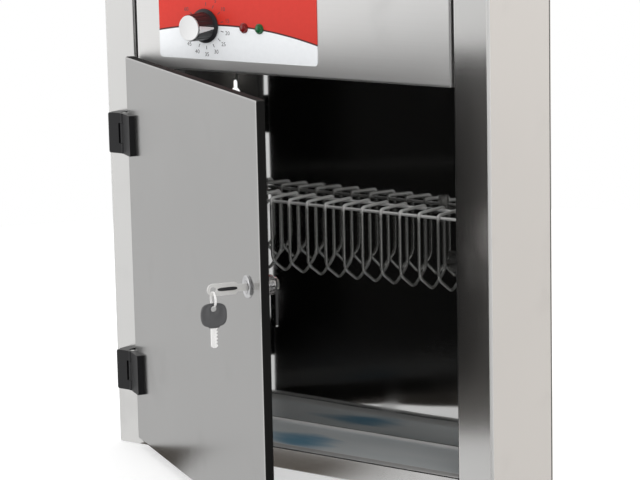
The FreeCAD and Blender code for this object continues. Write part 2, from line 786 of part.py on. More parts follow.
def lock():
    """Cam lock: housing clamped in the door, plug with its cam, and the key in its slot."""
    housing = piece("lock_housing")
    turn(housing, [("plug_bore", "-housing_length"), ("housing_radius", "-housing_length"),
                   ("housing_radius", "0"), ("bezel_radius", "0"),
                   ("bezel_radius", "bezel_height / 2"),
                   ("bezel_radius - bezel_height / 2", "bezel_height"),
                   ("plug_bore", "bezel_height")])
    lock_place(housing)

    nut = piece("lock_nut")
    add(nut, "XY_Plane", polygon(6, "lock_nut_flats"), "-door_thickness - lock_nut_height",
        "-door_thickness")
    cut(nut, "XY_Plane", ("0", "0", "housing_radius + nut_gap"),
        "-door_thickness - lock_nut_height - gauge", "-door_thickness + gauge")
    lock_place(nut)

    plug = piece("lock_plug")
    tenon = rectangle("-tenon_side / 2", "tenon_side / 2", "-tenon_side / 2", "tenon_side / 2")
    add(plug, "XY_Plane", ("0", "0", "plug_radius"), "-cam_back", "bezel_height")
    add(plug, "XY_Plane", tenon, "-cam_front", "-cam_back")
    keyway = rectangle("-key_slot", "key_slot", "-key_blade_half - key_gap",
                       "key_blade_half + key_gap")
    cut(plug, "XY_Plane", keyway, "-key_blade_depth - key_gap", "bezel_height + gauge")
    cut(plug, "XY_Plane", ("0", "0", "cam_screw_radius + nut_gap"),
        "-cam_front - gauge", "-cam_front + cam_screw_length - cam_screw_head_height")
    lock_place(plug)

    cam = piece("lock_cam")
    half = "cam_width / 2"
    outline = rectangle(f"-{half}", half, "-cam_reach", "cam_heel")
    add(cam, "XY_Plane", outline, "-cam_front", "-cam_back")
    soften(cam, "z", outline, "cam_width / 4")
    hole = "tenon_side / 2 + running_gap"
    cut(cam, "XY_Plane", rectangle(f"-({hole})", hole, f"-({hole})", hole),
        "-cam_front - gauge", "-cam_back + gauge")
    lock_place(cam)

    screw = piece("cam_screw")
    add(screw, "XY_Plane", ("0", "0", "cam_screw_head_radius"),
        "-cam_front - cam_screw_head_height", "-cam_front")
    add(screw, "XY_Plane", ("0", "0", "cam_screw_radius"), "-cam_front - gauge",
        "-cam_front + cam_screw_length - cam_screw_head_height - gauge")
    lock_place(screw)

    key = piece("door_key")
    across = ("-key_gauge / 2", "key_gauge / 2")
    blade = rectangle("-key_blade_half", "key_blade_half", "-key_blade_depth",
                      "key_bow_start + gauge")
    bow = rectangle("-key_bow_half", "key_bow_half", "key_bow_start", "key_hole_out")
    add(key, "YZ_Plane", blade, *across)
    add(key, "YZ_Plane", bow, *across)
    soften(key, "x", bow[:2], "(key_bow_half - key_blade_half) * 0.8")
    add(key, "YZ_Plane", ("0", "key_hole_out", "key_bow_half"), *across)
    cut(key, "YZ_Plane", ("0", "key_hole_out", "key_hole_radius"), "-key_gauge", "key_gauge")
    lock_place(key)


def key_ring():
    """Wire ring that hangs in the key's bow."""
    ring = piece("key_ring")
    turn(ring, [(f"ring_radius + {x}", z) for x, z in polygon(6, "ring_wire_radius * 2")])
    place(ring, DOOR, "lock_x", "key_plane", "ring_top - ring_radius", FACING_OUT)


def spare_key():
    """Second key on the ring, with a moulded head: a disc cut flat above and below."""
    tip = "-spare_head_half - spare_blade_length"
    tang = rectangle("-spare_blade_half", "spare_blade_half", tip,
                     "-spare_head_half + spare_tang")
    blade = piece("spare_key_blade")
    add(blade, "YZ_Plane", tang, "-key_gauge / 2", "key_gauge / 2")
    soften(blade, "x", [("-spare_blade_half", tip), ("spare_blade_half", tip)],
           "spare_blade_half / 2", "Chamfer")
    for step, depth in enumerate(KEY_BITES):
        low = f"{tip} + spare_blade_half / 2 + {step} * bite_pitch + bite_start"
        bite = [("-spare_blade_half - gauge", low),
                (f"-spare_blade_half + {depth}", f"{low} + bite_width / 2"),
                ("-spare_blade_half - gauge", f"{low} + bite_width")]
        cut(blade, "YZ_Plane", bite, "-key_gauge", "key_gauge")
    place(blade, DOOR, "lock_x", "key_plane", "spare_centre")

    head = piece("spare_key_head")
    add(head, "YZ_Plane", ("0", "0", "spare_head_radius"), "-spare_head_gauge / 2",
        "spare_head_gauge / 2")
    for side in (-1, 1):
        flat = rectangle("-spare_head_radius", "spare_head_radius",
                         mirrored(side, "spare_head_half"),
                         mirrored(side, "spare_head_radius + gauge"))
        cut(head, "YZ_Plane", flat, "-spare_head_gauge", "spare_head_gauge")
    cut(head, "YZ_Plane", ("0", "spare_hole_rise", "key_hole_radius"), "-spare_head_gauge",
        "spare_head_gauge")
    slot = rectangle("-spare_blade_half - fixed_gap", "spare_blade_half + fixed_gap",
                     "-spare_head_half - gauge", "-spare_head_half + spare_tang + fixed_gap")
    cut(head, "YZ_Plane", slot, "-key_gauge / 2 - fixed_gap", "key_gauge / 2 + fixed_gap")
    place(head, DOOR, "lock_x", "key_plane", "spare_centre")


def timer_place(thing):
    place(thing, x="-timer_x", y="label_face", z="timer_height", turn=FACING_OUT)


def flutes():
    """Outline of the knob's grip: flat lands between shallow grooves."""
    lands = sizes["knob_flutes"]
    outline = []
    for land in range(lands):
        for share, reach in ((0.1, "knob_radius"), (0.6, "knob_radius"),
                             (0.85, "knob_radius - flute_depth")):
            angle = (land + share) * 360 / lands
            outline.append((f"({reach}) * cos({angle})", f"({reach}) * sin({angle})"))
    return outline


def timer():
    """Clockwork timer behind the fascia, its shaft, and the knob on it."""
    sheet_back = "-(label_gauge + gauge)"
    case = piece("timer_body")
    side = rectangle("-timer_case_half", "timer_case_half", "-timer_case_half",
                     "timer_case_half")
    add(case, "XY_Plane", side, f"{sheet_back} - timer_case_depth", sheet_back)
    soften(case, "z", side, "timer_case_half / 5", "Chamfer")
    add(case, "XY_Plane", ("0", "0", "timer_bush_radius"), sheet_back,
        "timer_bush_length - gauge * 2")
    cut(case, "XY_Plane", ("0", "0", "shaft_bore"), f"{sheet_back} - timer_case_depth / 2",
        "timer_bush_length")
    timer_place(case)

    nut = piece("timer_nut")
    add(nut, "XY_Plane", polygon(6, "timer_nut_flats"), "0", "timer_nut_height")
    cut(nut, "XY_Plane", ("0", "0", "timer_bush_radius + nut_gap"), "-gauge",
        "timer_nut_height + gauge")
    timer_place(nut)

    shaft = piece("timer_shaft")
    add(shaft, "XY_Plane", ("0", "0", "timer_shaft_radius"),
        f"{sheet_back} - timer_case_depth / 2 + running_gap", "timer_shaft_out")
    timer_place(shaft)

    knob = piece("timer_knob")
    skirt_top = "knob_stand_off + knob_skirt_height"
    turn(knob, [("0", "knob_stand_off"), ("knob_skirt_radius", "knob_stand_off"),
                ("knob_skirt_radius", "knob_stand_off + knob_skirt_height / 2"),
                ("knob_radius", skirt_top), ("0", skirt_top)])
    add(knob, "XY_Plane", flutes(), skirt_top, "knob_height")
    cut(knob, "XY_Plane", ("0", "0", "knob_hollow_radius"), "0",
        "knob_stand_off + knob_hollow_depth")
    cut(knob, "XY_Plane", ("0", "0", "timer_shaft_radius + fixed_gap"), "0",
        "timer_shaft_out + running_gap")
    timer_place(knob)

    cap = piece("knob_cap")
    turn(cap, [("0", "knob_height"), ("cap_radius", "knob_height"),
               ("cap_radius", "knob_height + cap_height / 2"),
               ("cap_radius - cap_height / 2", "knob_height + cap_height"),
               ("0", "knob_height + cap_height")])
    timer_place(cap)


def pilot(name, across):
    """Domed lens of a pilot light."""
    lens = piece(f"pilot_lens_{name}")
    turn(lens, [("0", "0"), ("pilot_radius", "0"), ("pilot_radius", "pilot_flange_height"),
                ("pilot_radius * 0.85", "pilot_flange_height + pilot_dome_height * 0.5"),
                ("pilot_radius * 0.5", "pilot_flange_height + pilot_dome_height * 0.9"),
                ("0", "pilot_flange_height + pilot_dome_height")])
    place(lens, x=f"-{across}", y="label_face", z="pilot_height", turn=FACING_OUT)


def pilot_bodies():
    """Lamp stems through the fascia, with their push-on collars behind it."""
    bodies = piece("pilot_bodies")
    for across in ("-pilot_red_x", "-pilot_green_x"):
        stem = polygon(12, "pilot_stem_radius * 2", across, "pilot_height")
        add(bodies, "XZ_Plane", stem, "label_face", "pilot_stem_length")
        add(bodies, "XZ_Plane", peg(across, "pilot_height", "pilot_case_radius"), "gauge",
            "pilot_stem_length / 2")
    place(bodies)


def lamp():
    """Ultraviolet tube under the ceiling, with its caps, holders and folded reflector."""
    tube = piece("uv_tube")
    body_end = "tube_end - tube_cap_length"
    add(tube, "YZ_Plane", ("0", "0", "tube_radius"), f"-({body_end})", body_end)
    place(tube, y="tube_y", z="tube_height")

    caps = piece("uv_tube_caps")
    for side in (-1, 1):
        low, high = sorted((mirrored(side, body_end), mirrored(side, "tube_end")), key=number_of)
        add(caps, "YZ_Plane", ("0", "0", "tube_radius + tube_cap_wall"), low, high)
        reach = (mirrored(side, body_end), mirrored(side, "tube_end + tube_pin_length"))
        low, high = sorted(reach, key=number_of)
        for end in (-1, 1):
            pin = peg(f"{end} * tube_pin_spacing / 2", "0", "tube_pin_radius")
            add(caps, "YZ_Plane", pin, low, high)
    place(caps, y="tube_y", z="tube_height")

    for name, side in (("left", -1), ("right", 1)):
        holder = piece(f"lamp_holder_{name}")
        near, far = "tube_end + holder_gap", "tube_end + holder_gap + holder_depth"
        low, high = sorted((mirrored(side, near), mirrored(side, far)), key=number_of)
        outline = rectangle("-holder_width / 2", "holder_width / 2",
                            "tube_drop - holder_height", "tube_drop")
        add(holder, "YZ_Plane", outline, low, high)
        soften(holder, "x", outline[:2], "holder_width / 4")
        reach = (mirrored(side, "tube_end - gauge"),
                 mirrored(side, "tube_end + tube_pin_length + holder_gap"))
        low, high = sorted(reach, key=number_of)
        cut(holder, "YZ_Plane", ("0", "0", "holder_socket_radius"), low, high)
        spigot = peg(mirrored(side, "tube_end + holder_gap + holder_depth / 2"), "0",
                     "holder_spigot_radius")
        add(holder, "XY_Plane", spigot, "tube_drop", "tube_drop + gauge * 4")
        place(holder, y="tube_y", z="tube_height")

    reflector = piece("lamp_reflector")
    slant = "reflector_gauge * 1.4"
    outline = [("-reflector_foot_half", "reflector_foot"),
               ("-reflector_top_half", "ceiling_height"), ("reflector_top_half", "ceiling_height"),
               ("reflector_foot_half", "reflector_foot"),
               (f"reflector_foot_half - {slant}", "reflector_foot"),
               (f"reflector_top_half - {slant} / 2", "ceiling_height - reflector_gauge"),
               (f"-reflector_top_half + {slant} / 2", "ceiling_height - reflector_gauge"),
               (f"-reflector_foot_half + {slant}", "reflector_foot")]
    add(reflector, "YZ_Plane", outline, "-tube_end + holder_depth", "tube_end - holder_depth")
    place(reflector, y="tube_y")


def control_gear():
    """Ballast, starter, terminal block and reed switch of the control compartment."""
    ballast = piece("ballast")
    half = "ballast_width / 2"
    core = rectangle("0", "ballast_length", "0", "ballast_height")
    add(ballast, "XZ_Plane", core, f"-({half})", half)
    for side in (-1, 1):
        low, high = (("-ballast_foot", "gauge") if side < 0 else
                     ("ballast_length - gauge", "ballast_length + ballast_foot"))
        foot = rectangle(low, high, "0", "ballast_foot_gauge")
        add(ballast, "XZ_Plane", foot, f"-({half})", half)
        spot = f"ballast_length / 2 + {side} * (ballast_length + ballast_foot) / 2"
        cut(ballast, "XY_Plane", peg(spot, "0", "screw_hole"), "-gauge",
            "ballast_foot_gauge + gauge")
    soften(ballast, "y", core[2:], "ballast_height / 9")
    place(ballast, x="ballast_x + ballast_foot", y="gear_y", z="ceiling_top")

    socket = piece("starter_socket")
    add(socket, "XY_Plane", rectangle("-socket_half", "socket_half", "-socket_half",
                                      "socket_half"), "0", "socket_height")
    cut(socket, "XY_Plane", ("0", "0", "starter_radius + hole_clearance"),
        "socket_height / 2", "socket_height + gauge")
    place(socket, x="-starter_x", y="gear_y", z="ceiling_top")
    starter = piece("starter")
    turn(starter, [("0", "socket_height / 2"), ("starter_radius", "socket_height / 2"),
                   ("starter_radius", "starter_length - gauge"),
                   ("starter_radius - gauge", "starter_length"), ("0", "starter_length")])
    place(starter, x="-starter_x", y="gear_y", z="ceiling_top")

    block = piece("terminal_block")
    length = "terminal_ways * terminal_pitch"
    add(block, "XY_Plane", rectangle("0", length, "-terminal_depth / 2", "terminal_depth / 2"),
        "0", "terminal_height / 2")
    add(block, "XY_Plane", rectangle("0", length, "-terminal_depth / 4", "terminal_depth / 4"),
        "0", "terminal_height")
    for way in range(sizes["terminal_ways"]):
        screw = peg(f"({way} + 0.5) * terminal_pitch", "0", "terminal_pitch / 4")
        cut(block, "XY_Plane", screw, "terminal_height / 2", "terminal_height + gauge")
    place(block, x="-terminal_x", y="gear_y", z="ceiling_top")

    switch = piece("door_reed_switch")
    outline = rectangle("-switch_length / 2", "switch_length / 2", "0", "switch_height")
    add(switch, "XZ_Plane", outline, "0", "switch_depth")
    soften(switch, "y", outline[2:], "gauge * 2")
    place(switch, x="magnet_x - hinge_axis_x", y="gauge", z="fascia_bottom + switch_rise")


def cable_gland():
    """Gland for the mains lead, through the top panel near the wall."""
    gland = piece("cable_gland")
    add(gland, "XY_Plane", polygon(6, "gland_flats"), "0", "gland_hex_height")
    turn(gland, [("0", "gland_hex_height"), ("gland_flats / 2", "gland_hex_height"),
                 ("gland_flats / 2 - gland_slope", "gland_hex_height + gland_dome_height"),
                 ("0", "gland_hex_height + gland_dome_height")])
    add(gland, "XY_Plane", ("0", "0", "gland_thread_radius"),
        "-gauge - gland_nut_height - gauge", "0")
    cut(gland, "XY_Plane", ("0", "0", "gland_bore_radius"), "-gland_nut_height - gauge * 3",
        "gland_hex_height + gland_dome_height + gauge")
    place(gland, x="gland_x", y="gland_y", z="body_height")
    nut = piece("gland_nut")
    add(nut, "XY_Plane", polygon(6, "gland_flats"), "-gauge - gland_nut_height", "-gauge")
    cut(nut, "XY_Plane", ("0", "0", "gland_thread_radius + nut_gap"),
        "-gland_nut_height - gauge * 2", "0")
    place(nut, x="gland_x", y="gland_y", z="body_height")


def drip_tray():
    """Loose tray on the floor, with a folded rim all round."""
    tray = piece("drip_tray")
    outline = rectangle("-tray_half", "tray_half", "tray_front", "tray_back")
    add(tray, "XY_Plane", outline, "floor_top", "floor_top + tray_height")
    inner = rectangle("-tray_half + gauge", "tray_half - gauge", "tray_front + gauge",
                      "tray_back - gauge")
    cut(tray, "XY_Plane", inner, "floor_top + gauge", "floor_top + tray_height + gauge")
    soften(tray, "z", inner, "tray_corner - gauge")
    soften(tray, "z", outline, "tray_corner")
    place(tray)


def rack():
    """Lift-off wire rack: hoops that part the knives, welded to two rails."""
    rails = piece("rack_rails")
    reach = "rack_half + rail_overhang"
    for depth in ("rack_rail_front", "rack_rail_back"):
        add(rails, "YZ_Plane", (depth, "rack_rail_height", "wire_radius"), f"-({reach})", reach)
    place(rails, x="-rack_shift")

    hoops = piece("rack_hoops")
    section = sketch(hoops, "XY_Plane", "(hoop_top + hoop_shoulder) / 2")
    draw_outline(section, [(x, f"hoop_front + {y}") for x, y in
                           polygon(8, "wire_radius * 2")])
    spine = sketch(hoops, "YZ_Plane")
    middle = "(hoop_top + hoop_shoulder) / 2"
    corners = [("hoop_front", middle), ("hoop_front", "hoop_top"), ("hoop_back", "hoop_top"),
               ("hoop_back", "hoop_shoulder"), ("hoop_toe_y", "hoop_toe"),
               ("hoop_front", "hoop_shoulder")]
    draw_outline(spine, corners)
    hoop = hoops.newObject("PartDesign::AdditivePipe", "Hoop")
    hoop.Profile = section
    hoop.Spine = (spine, [f"Edge{index}" for index in range(1, len(corners) + 1)])
    hoop.Transition = "Right corner"
    document.recompute()
    row = hoops.newObject("PartDesign::LinearPattern", "Row")
    row.Originals = [hoop]
    axis = [item for item in hoops.Origin.OriginFeatures if item.Role == "X_Axis"]
    row.Direction = (axis[0], [""])
    row.setExpression("Length", spell("rack_half * 2"))
    row.setExpression("Occurrences", spell("hoop_count"))
    hoops.Tip = row
    place(hoops, x="-rack_shift - rack_half")


def rack_hooks():
    """Folded hooks on the back wall for the rear rail, and stays that keep the rack upright."""
    hooks = piece("rack_hooks")
    wall, front = "back_inner", "back_inner - hook_gauge"
    hook = [(wall, "rack_rail_height - hook_plate_down"),
            (wall, "rack_rail_height + hook_plate_up"),
            (front, "rack_rail_height + hook_plate_up"), (front, "hook_seat"),
            ("hook_lip_back", "hook_seat"), ("hook_lip_back", "hook_seat + hook_lip"),
            ("hook_lip_back - hook_gauge", "hook_seat + hook_lip"),
            ("hook_lip_back - hook_gauge", "hook_seat - hook_gauge"),
            (front, "hook_seat - hook_gauge"), (front, "rack_rail_height - hook_plate_down")]
    stay = [(wall, "stay_height - stay_plate"), (wall, "stay_height + stay_plate"),
            (front, "stay_height + stay_plate"), (front, "stay_height + hook_gauge"),
            ("stay_front", "stay_height + hook_gauge"), ("stay_front", "stay_height"),
            (front, "stay_height"), (front, "stay_height - stay_plate")]
    for side in (-1, 1):
        for outline, bay in ((hook, "hook_bay"), (stay, "(hook_bay + 0.5)")):
            centre = f"{side} * {bay} * hoop_pitch"
            add(hooks, "YZ_Plane", outline, f"{centre} - hook_width / 2",
                f"{centre} + hook_width / 2")
    place(hooks, x="-rack_shift")


write_sheet()
side_panel("side_panel_left", -1, ("hinge_upper", "hinge_lower"))
side_panel("side_panel_right", 1, ())
back_panel()
end_panel("bottom_panel", "0", 1, "rail_height", "rail_return")
top = end_panel("top_panel", "body_height", -1, "lip_height", "fascia_depth",
                ("gland_x", "gland_y", "gland_thread_radius + hole_clearance"))
for place_x in SCREW_PLACES:
    cut(top, "XY_Plane", peg(place_x, "fascia_depth / 2", "screw_hole"), "fascia_top - gauge",
        "fascia_top + gauge * 2")
floor_panel()
chamber_ceiling()
fascia()
control_label()
fascia_screws()
for hinge_name in ("upper", "lower"):
    hinge(hinge_name, f"hinge_{hinge_name}")
hinge_spacers()
stud_nuts("hinge_frame_nuts", CABINET, "-hinge_axis_x - frame_stud_x", "gauge")
stud_nuts("hinge_door_nuts", DOOR, "door_stud_x", "(door_face + gauge)")
door_skin()
door_liner()
door_magnet()
lock()
key_ring()
spare_key()
timer()
pilot("red", "pilot_red_x")
pilot("green", "pilot_green_x")
pilot_bodies()
lamp()
control_gear()
cable_gland()
drip_tray()
rack()
rack_hooks()

document.recompute()
for item in document.Objects:
    if "Invalid" in item.State or "Error" in item.State:
        raise RuntimeError(f"{item.Label} failed: {item.State}")
os.makedirs("parts", exist_ok=True)
for item in pieces:
    if item.Shape.isNull() or not item.Shape.isValid():
        raise RuntimeError(f"{item.Label} has no valid shape")
    item.Shape.exportStep(f"parts/{item.Label}.step")
print(len(pieces), "pieces,", sum(len(item.Shape.Solids) for item in pieces), "solids")
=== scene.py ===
import json
import math

import bmesh
import bpy
import numpy as np
from mathutils import Matrix, Vector


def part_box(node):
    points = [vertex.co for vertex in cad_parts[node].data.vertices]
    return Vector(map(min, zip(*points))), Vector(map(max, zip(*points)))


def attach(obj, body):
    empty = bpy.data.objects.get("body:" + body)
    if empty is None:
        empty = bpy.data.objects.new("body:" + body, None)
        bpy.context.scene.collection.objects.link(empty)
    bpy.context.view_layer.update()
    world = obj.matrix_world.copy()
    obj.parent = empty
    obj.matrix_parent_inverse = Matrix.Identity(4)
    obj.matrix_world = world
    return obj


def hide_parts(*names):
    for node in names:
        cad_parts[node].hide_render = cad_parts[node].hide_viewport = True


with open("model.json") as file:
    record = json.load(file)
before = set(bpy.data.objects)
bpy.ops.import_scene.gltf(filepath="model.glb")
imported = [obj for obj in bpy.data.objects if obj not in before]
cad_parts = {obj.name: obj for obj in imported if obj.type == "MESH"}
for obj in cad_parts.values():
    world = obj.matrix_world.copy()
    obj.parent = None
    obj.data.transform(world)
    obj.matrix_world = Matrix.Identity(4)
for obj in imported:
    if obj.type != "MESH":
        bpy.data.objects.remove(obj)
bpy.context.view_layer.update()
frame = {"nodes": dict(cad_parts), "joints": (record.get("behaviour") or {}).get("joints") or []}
scene = bpy.context.scene
scene.view_settings.view_transform = "Standard"

# The photograph's view: from the right of the cabinet and a little above it, through a long
# lens, with the camera tilted by about a degree. Sizes are metres, from the cabinet's base.
VIEW_TURN = math.radians(36.797)
VIEW_RISE = math.radians(10.454)
VIEW_ROLL = math.radians(-1.242)
VIEW_DISTANCE = 2.4503
VIEW_LENS = 146.40
front_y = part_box("side_panel_right")[0].y
base_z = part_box("side_panel_right")[0].z
aim = Vector((0.03396, front_y, base_z + 0.23048))
towards = Vector((math.sin(VIEW_TURN) * math.cos(VIEW_RISE),
                  -math.cos(VIEW_TURN) * math.cos(VIEW_RISE), math.sin(VIEW_RISE)))
level = Vector((math.cos(VIEW_TURN), math.sin(VIEW_TURN), 0))
across = level * math.cos(VIEW_ROLL) + towards.cross(level) * math.sin(VIEW_ROLL)
upward = towards.cross(across)
camera = bpy.data.objects.new("camera", bpy.data.cameras.new("camera"))
camera.data.lens = VIEW_LENS
camera.data.sensor_width = 36
camera.data.clip_end = 50
camera.matrix_world = Matrix.Translation(aim + towards * VIEW_DISTANCE) @ Matrix(
    (across, upward, towards)).transposed().to_4x4()
scene.collection.objects.link(camera)
scene.camera = camera

# The studio: a white surround for the camera, soft even light for paint and plastic, and for
# the polished sheet a room that is bright all round but unlit on the photographer's side,
# with one narrow window there that draws bright lines along the folded corners.
ROOM_TONES = ((-180, 1.12), (-140, 0.90), (-100, 0.70), (-72, 0.90), (-48, 1.45), (-36, 1.10),
              (-20, 0.50), (0, 0.14), (15, 0.08), (46, 0.08), (50, 1.3), (56, 1.3),
              (60, 0.06), (112, 0.06), (127, 0.60), (142, 1.18), (180, 1.12))
ROOM_WARMTH, WARM_FROM = (1.0, 0.955, 0.915), 100
CEILING_FROM, CEILING_TO, CEILING_DARK = 0.45, 0.95, 0.75
SKIRTING_LOW, SKIRTING_HIGH, FLOOR_SHEEN = -0.16, 0.04, 0.78
LIGHT_LOW, LIGHT_HIGH = 1.62, 1.18
FLOOR_TONE, FLOOR_LIFT = 0.66, 0.42
FLOOR_RADIUS, FLOOR_POINTS, FLOOR_GAP = 1.4, 64, 0.0006
# The open door's shadow on the floor as metal sees it, painted: its reach, sides and tone.
DIM_REACH, DIM_LEFT, DIM_RIGHT, DOOR_SHADOW_TONE = 0.095, -0.2, 0.12, (0.15, 0.135, 0.12, 1)
WHITE, BLACK = (1, 1, 1, 1), (0, 0, 0, 1)


def join(tree, given, socket):
    """Feed a socket from another socket, or set it to a plain value."""
    if isinstance(given, bpy.types.NodeSocket):
        tree.links.new(given, socket)
    elif given is not None:
        socket.default_value = given


def sum_of(tree, operation, first, second=None, third=None):
    """A Math node on up to three sockets or numbers."""
    node = tree.nodes.new("ShaderNodeMath")
    node.operation = operation
    for socket, given in zip(node.inputs, (first, second, third)):
        join(tree, given, socket)
    return node.outputs[0]


def vector_of(tree, operation, first, second=None):
    """A Vector Math node on sockets or plain vectors, and the number or vector it gives."""
    node = tree.nodes.new("ShaderNodeVectorMath")
    node.operation = operation
    for socket, given in zip(node.inputs, (first, second)):
        join(tree, given, socket)
    return node.outputs["Value" if operation in ("DOT_PRODUCT", "LENGTH") else "Vector"]


def mixed(tree, share, first, second):
    """A colour Mix node: the share is that of the second colour."""
    node = tree.nodes.new("ShaderNodeMix")
    node.data_type = "RGBA"
    for place, given in ((0, share), (6, first), (7, second)):
        join(tree, given, node.inputs[place])
    return node.outputs[2]


def ramped(tree, value, low, high, start=0.0, end=1.0, smooth=False):
    """A Map Range node: start where the value is low, end where it is high, level beyond."""
    node = tree.nodes.new("ShaderNodeMapRange")
    node.interpolation_type = "SMOOTHSTEP" if smooth else "LINEAR"
    for name, given in (("Value", value), ("From Min", low), ("From Max", high),
                        ("To Min", start), ("To Max", end)):
        join(tree, given, node.inputs[name])
    return node.outputs["Result"]


def parts_of(tree, vector):
    """The X, Y and Z sockets of a vector."""
    node = tree.nodes.new("ShaderNodeSeparateXYZ")
    join(tree, vector, node.inputs[0])
    return node.outputs


def chosen(tree, share, first, second):
    """A Mix Shader node: the share is that of the second shader."""
    node = tree.nodes.new("ShaderNodeMixShader")
    for socket, given in zip(node.inputs, (share, first, second)):
        join(tree, given, socket)
    return node.outputs[0]


def new_group(name, takes, gives):
    """A node group with its inputs and outputs, each given as a name and a kind of socket."""
    group = bpy.data.node_groups.new(name, "ShaderNodeTree")
    for side, sockets in (("INPUT", takes), ("OUTPUT", gives)):
        for title, kind in sockets:
            group.interface.new_socket(title, in_out=side, socket_type=f"NodeSocket{kind}")
    return (group, group.nodes.new("NodeGroupInput").outputs,
            group.nodes.new("NodeGroupOutput").inputs)


def build_room():
    """The room's tone in a direction: a ramp whose stops are compass degrees from the front,
    warm towards the back right, darker overhead and a little darker in the floor."""
    group, given, result = new_group("room_tone", [("Direction", "Vector")],
                                     [("Tone", "Color")])
    parts = parts_of(group, vector_of(group, "NORMALIZE", given["Direction"]))
    compass = sum_of(group, "ARCTAN2", parts["X"], sum_of(group, "MULTIPLY", parts["Y"], -1))
    ramp = group.nodes.new("ShaderNodeValToRGB")
    join(group, sum_of(group, "MULTIPLY_ADD", compass, 0.5 / math.pi, 0.5), ramp.inputs["Fac"])
    stops = ramp.color_ramp.elements
    for index, (degrees, tone) in enumerate(ROOM_TONES):
        place = degrees / 360 + 0.5
        stop = stops[index] if index < 2 else stops.new(place)
        stop.position = place
        warm = ROOM_WARMTH if degrees > WARM_FROM else (1, 1, 1)
        stop.color = (tone * warm[0], tone * warm[1], tone * warm[2], 1)
    overhead = ramped(group, parts["Z"], CEILING_FROM, CEILING_TO, 0, CEILING_DARK)
    low = ramped(group, parts["Z"], SKIRTING_LOW, SKIRTING_HIGH, 1 - FLOOR_SHEEN, 0)
    walls = mixed(group, overhead, ramp.outputs["Color"], BLACK)
    join(group, mixed(group, low, walls, BLACK), result["Tone"])
    return group


def build_surround(room_tone):
    """White where the camera looks past the cabinet, for diffuse light a plain tone that is a
    little stronger near the horizon, and for mirror light the room."""
    world = bpy.data.worlds.new("studio")
    world.use_nodes = True
    tree = world.node_tree
    tree.nodes.clear()
    direction = tree.nodes.new("ShaderNodeTexCoord").outputs["Generated"]
    room = tree.nodes.new("ShaderNodeGroup")
    room.node_tree = room_tone
    join(tree, direction, room.inputs["Direction"])
    height = sum_of(tree, "ABSOLUTE", parts_of(tree, direction)["Z"])
    even = sum_of(tree, "MULTIPLY_ADD", height, LIGHT_HIGH - LIGHT_LOW, LIGHT_LOW)

    def backdrop(color, strength):
        made = tree.nodes.new("ShaderNodeBackground")
        join(tree, color, made.inputs["Color"])
        join(tree, strength, made.inputs["Strength"])
        return made.outputs[0]

    ray = tree.nodes.new("ShaderNodeLightPath").outputs
    glossy = chosen(tree, ray["Is Glossy Ray"], backdrop(WHITE, even),
                    backdrop(room.outputs["Tone"], 1))
    out = tree.nodes.new("ShaderNodeOutputWorld")
    join(tree, chosen(tree, ray["Is Camera Ray"], glossy, backdrop(WHITE, 1)),
         out.inputs["Surface"])
    scene.world = world


def spot_on(tree):
    """The place of a point on its object, from Object coordinates."""
    return tree.nodes.new("ShaderNodeTexCoord").outputs["Object"]


def new_material(name, **sources):
    """A material, and what feeds or sets its shader's sockets, a _ standing for a space."""
    material = bpy.data.materials.new(name)
    material.use_nodes = True
    return feed(material, **sources)


def feed(material, **sources):
    """Feed or set more of a material's shader sockets."""
    shader = material.node_tree.nodes["Principled BSDF"]
    for name, given in sources.items():
        join(material.node_tree, given, shader.inputs[name.replace("_", " ")])
    return material


def round_steps(count):
    """Even steps of angle round a circle."""
    return np.linspace(0, 2 * math.pi, count, endpoint=False)


def build_floor():
    """A round pale floor. Points: radius times the cosine and sine of even steps of angle. The
    camera sees it lifted to white, where the cabinet's shadow doesn't fall, and metal sees
    through it into the room, but for a dim strip under the open door, which is a painted
    shadow of the door."""
    angle = round_steps(FLOOR_POINTS)
    rim = np.stack([FLOOR_RADIUS * np.cos(angle), FLOOR_RADIUS * np.sin(angle),
                    np.full(FLOOR_POINTS, base_z - FLOOR_GAP)], axis=1)
    mesh = bpy.data.meshes.new("floor")
    mesh.from_pydata(rim.tolist(), [], [list(range(FLOOR_POINTS))])
    floor = bpy.data.objects.new("floor", mesh)
    scene.collection.objects.link(floor)
    material = new_material("floor", Base_Color=(FLOOR_TONE, FLOOR_TONE, FLOOR_TONE, 1),
                            Roughness=1, Specular_IOR_Level=0,
                            Emission_Color=(FLOOR_LIFT, FLOOR_LIFT, FLOOR_LIFT, 1))
    tree = material.node_tree
    ray = tree.nodes.new("ShaderNodeLightPath").outputs
    feed(material, Emission_Strength=ray["Is Camera Ray"])
    parts = parts_of(tree, spot_on(tree))
    ahead = ramped(tree, parts["Y"], front_y - DIM_REACH, front_y - 0.6 * DIM_REACH, smooth=True)
    aside = ramped(tree, parts["X"], DIM_RIGHT, 0, smooth=True)
    under = sum_of(tree, "MULTIPLY", sum_of(tree, "GREATER_THAN", parts["X"], DIM_LEFT),
                   sum_of(tree, "LESS_THAN", parts["Y"], front_y))
    # Painted shadow of the open door, seen only by mirror rays.
    dim = sum_of(tree, "MULTIPLY", sum_of(tree, "MULTIPLY", ahead, under), aside)
    clear = tree.nodes.new("ShaderNodeBsdfTransparent")
    join(tree, mixed(tree, dim, WHITE, DOOR_SHADOW_TONE), clear.inputs["Color"])
    join(tree, chosen(tree, ray["Is Glossy Ray"], tree.nodes["Principled BSDF"].outputs[0],
                      clear.outputs[0]), tree.nodes["Material Output"].inputs["Surface"])
    mesh.materials.append(material)


build_surround(build_room())
build_floor()

# Cabinet shell: two side panels with their stiles, base, top, raised floor and ceiling, all
# folded from 1 mm stainless sheet with a fine brushed grain. Its front corners and the top of
# its front rail are made pale as painted highlights of their bends. Sizes are metres.
STEEL = (0.66, 0.655, 0.645, 1)
GRAIN_UP, GRAIN_ACROSS, GRAIN_EVEN = (1400, 1400, 12), (12, 1400, 1400), (90, 90, 90)
CORNER_HIGHLIGHT, RAIL_HIGHLIGHT_UP = 0.0025, 0.0213


